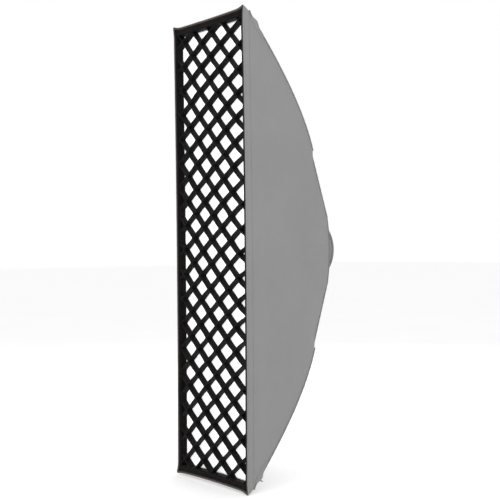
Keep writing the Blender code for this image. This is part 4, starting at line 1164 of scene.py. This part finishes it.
def screw(name, node_name):
    """A pan-head screw with a cross recess, in the place of the CAD screw."""
    lo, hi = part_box(node_name)
    cx, cz = (lo[0] + hi[0]) / 2, (lo[2] + hi[2]) / 2
    src = frame["nodes"][node_name]
    co = np.array([v.co for v in src.data.vertices], float)
    r = np.hypot(co[:, 0] - cx, co[:, 2] - cz)
    head_ends = co[r > 0.8 * r.max(), 1]
    rear = abs(head_ends.max() - hi[1]) < 0.002  # the head faces the lamp
    s = 1 if rear else -1
    top = hi[1] if rear else lo[1]
    tip = lo[1] if rear else hi[1]
    seg = 32
    prof = [(0.0016, tip), (0.0016, top - s * 0.0022), (0.0032, top - s * 0.0022), (0.0033, top - s * 0.0018), (0.0031, top - s * 0.0009), (0.0026, top - s * 0.0004), (0.0018, top - s * 0.0001), (0.0009, top)]
    rows = [[Vector((cx + rr * math.cos(2 * math.pi * k / seg), y, cz + rr * math.sin(2 * math.pi * k / seg))) for k in range(seg)] for rr, y in prof]
    ob = tube_rows(name, rows, M["steel"], angle=35)
    cut = bmesh.new()
    turn = 0.4 + cx * 31 + cz * 17
    for k in range(2):
        a = turn + k * math.pi / 2
        g = bmesh.ops.create_cube(cut, size=1.0)
        bmesh.ops.transform(
            cut,
            matrix=Matrix.Translation((cx, top, cz)) @ Matrix.Rotation(a, 4, "Y") @ Matrix.Diagonal((0.0038, 0.0022, 0.00085, 1)),
            verts=g["verts"],
        )
    me = bpy.data.meshes.new(name + "_recess")
    cut.to_mesh(me)
    cut.free()
    tool = bpy.data.objects.new(name + "_recess", me)
    bpy.context.scene.collection.objects.link(tool)
    m = ob.modifiers.new("recess", "BOOLEAN")
    m.object = tool
    m.operation = "DIFFERENCE"
    m.solver = "EXACT"
    m.use_self = True
    bpy.context.view_layer.update()
    dg = bpy.context.evaluated_depsgraph_get()
    done = bpy.data.meshes.new_from_object(ob.evaluated_get(dg))
    ob.modifiers.clear()
    ob.data = done
    done.shade_smooth()
    done.set_sharp_from_angle(angle=math.radians(35))
    bpy.data.objects.remove(tool, do_unlink=True)
    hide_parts(node_name)
    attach(ob, "frame")


for i in (1, 2, 3, 4):
    screw(f"ring_screw_{i}", f"retainer_screw_{i}")
for i in (1, 2):
    screw(f"foot_screw_{i}", f"bridge_screw_{i}")

# brake knob: eight lobes with a dished end, on a steel stem
KLO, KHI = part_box("brake_knob")
ky = (KLO[1] + KHI[1]) / 2
kr = (KHI[2] - KLO[2]) / 2
x_end, x_tip = KLO[0], KHI[0]
x_face = -0.0825
prof = [(0.0, 0.0020, x_tip, 0.0), (0.0, 0.0020, x_face + 0.0004, 0.0)]
stem = [[Vector((x, ky + 0.0020 * (1 - 0.06 * (i % 2)) * math.cos(2 * math.pi * k / 20), 0.0020 * (1 - 0.06 * (i % 2)) * math.sin(2 * math.pi * k / 20))) for k in range(20)] for i, x in enumerate(np.linspace(x_tip, x_face + 0.0003, 41))]
ob = tube_rows("knob_stem", stem, M["steel"], angle=60)
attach(ob, "brake")
seg = 96
rows = []
for share, rr, lobe in ((0.0, 0.55, 0.0), (0.0, 0.80, 0.3), (0.05, 0.90, 0.8), (0.14, 0.96, 1.0), (0.5, 0.965, 1.0), (0.80, 0.96, 1.0), (0.93, 0.91, 0.9), (1.0, 0.82, 0.6), (1.0, 0.66, 0.2), (0.955, 0.60, 0.0), (0.93, 0.30, 0.0)):
    x = x_face + (x_end - x_face) * share
    row = []
    for k in range(seg):
        a = 2 * math.pi * k / seg
        r = kr * rr * (1 + lobe * 0.045 * (math.cos(8 * a) ** 3))
        row.append(Vector((x, ky + r * math.cos(a), r * math.sin(a))))
    rows.append(row)
ob = tube_rows("knob_grip", rows, M["plastic"], angle=45)
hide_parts("brake_knob")
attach(ob, "brake")


# =============================================================== stage and light
def plane(name, size, z, mat):
    me = bpy.data.meshes.new(name)
    n = 2
    pts = [(-size, -size, z), (size, -size, z), (size, size, z), (-size, size, z)]
    me.from_pydata(pts, [], [(0, 1, 2, 3)])
    me.materials.append(mat)
    ob = bpy.data.objects.new(name, me)
    bpy.context.scene.collection.objects.link(ob)
    return ob


floor_mat, nt, b = nodes_of("pale_floor")
link(nt, ramp(nt, noise_tex(nt, coords(nt), 2.0), [(0.3, (0.90, 0.90, 0.90)), (0.7, (0.93, 0.93, 0.93))]), b.inputs["Base Color"])
b.inputs["Roughness"].default_value = 0.9
b.inputs["Emission Color"].default_value = (1.0, 1.0, 1.0, 1.0)
b.inputs["Emission Strength"].default_value = 0.22
plane("floor", 30.0, -HALF_Z - 0.006, floor_mat)

sc = bpy.context.scene
w = bpy.data.worlds.new("studio")
sc.world = w
w.use_nodes = True
bg = w.node_tree.nodes["Background"]
bg.inputs["Color"].default_value = (1.0, 1.0, 1.0, 1.0)
seen = node(w.node_tree, "ShaderNodeLightPath").outputs["Is Camera Ray"]
link(w.node_tree, spread(w.node_tree, seen, 0.80, 1.0), bg.inputs["Strength"])


def area(name, loc, target, size, power, colour=(1, 1, 1)):
    light = bpy.data.lights.new(name, "AREA")
    light.shape = "DISK"
    light.size = size
    light.energy = power
    light.color = colour
    ob = bpy.data.objects.new(name, light)
    ob.location = loc
    ob.rotation_euler = (Vector(target) - Vector(loc)).to_track_quat("-Z", "Y").to_euler()
    sc.collection.objects.link(ob)
    return ob


area("key", (2.6, -0.6, 1.6), (0, 0, 0), 1.8, 26)
area("front", (0.2, -2.8, 0.9), (0, 0, 0), 1.8, 18)
area("rear", (-1.8, 2.2, 1.2), (0, 0, 0), 1.8, 18)

# camera: the photograph's angle, with its small tilt
AZ = math.radians(51.06)
right = Vector((math.cos(AZ), math.sin(AZ), 0))
ahead = Vector((-math.sin(AZ), math.cos(AZ), 0))
face = Vector((0, REAR_Y - DEPTH, 0))
eye = face + right * 0.1067 - ahead * 2.45
tilt = math.radians(0.57)
up = Vector((0, 0, 1)) * math.cos(tilt) + right * math.sin(tilt)
side_v = ahead.cross(up).normalized()
cam_data = bpy.data.cameras.new("camera")
cam_data.sensor_width = 36.0
cam_data.lens = 68.15
cam = bpy.data.objects.new("camera", cam_data)
rot = Matrix((side_v, up, -ahead)).transposed().to_4x4()
cam.matrix_world = Matrix.Translation(eye) @ rot
sc.collection.objects.link(cam)
sc.camera = cam
sc.view_settings.view_transform = "Standard"
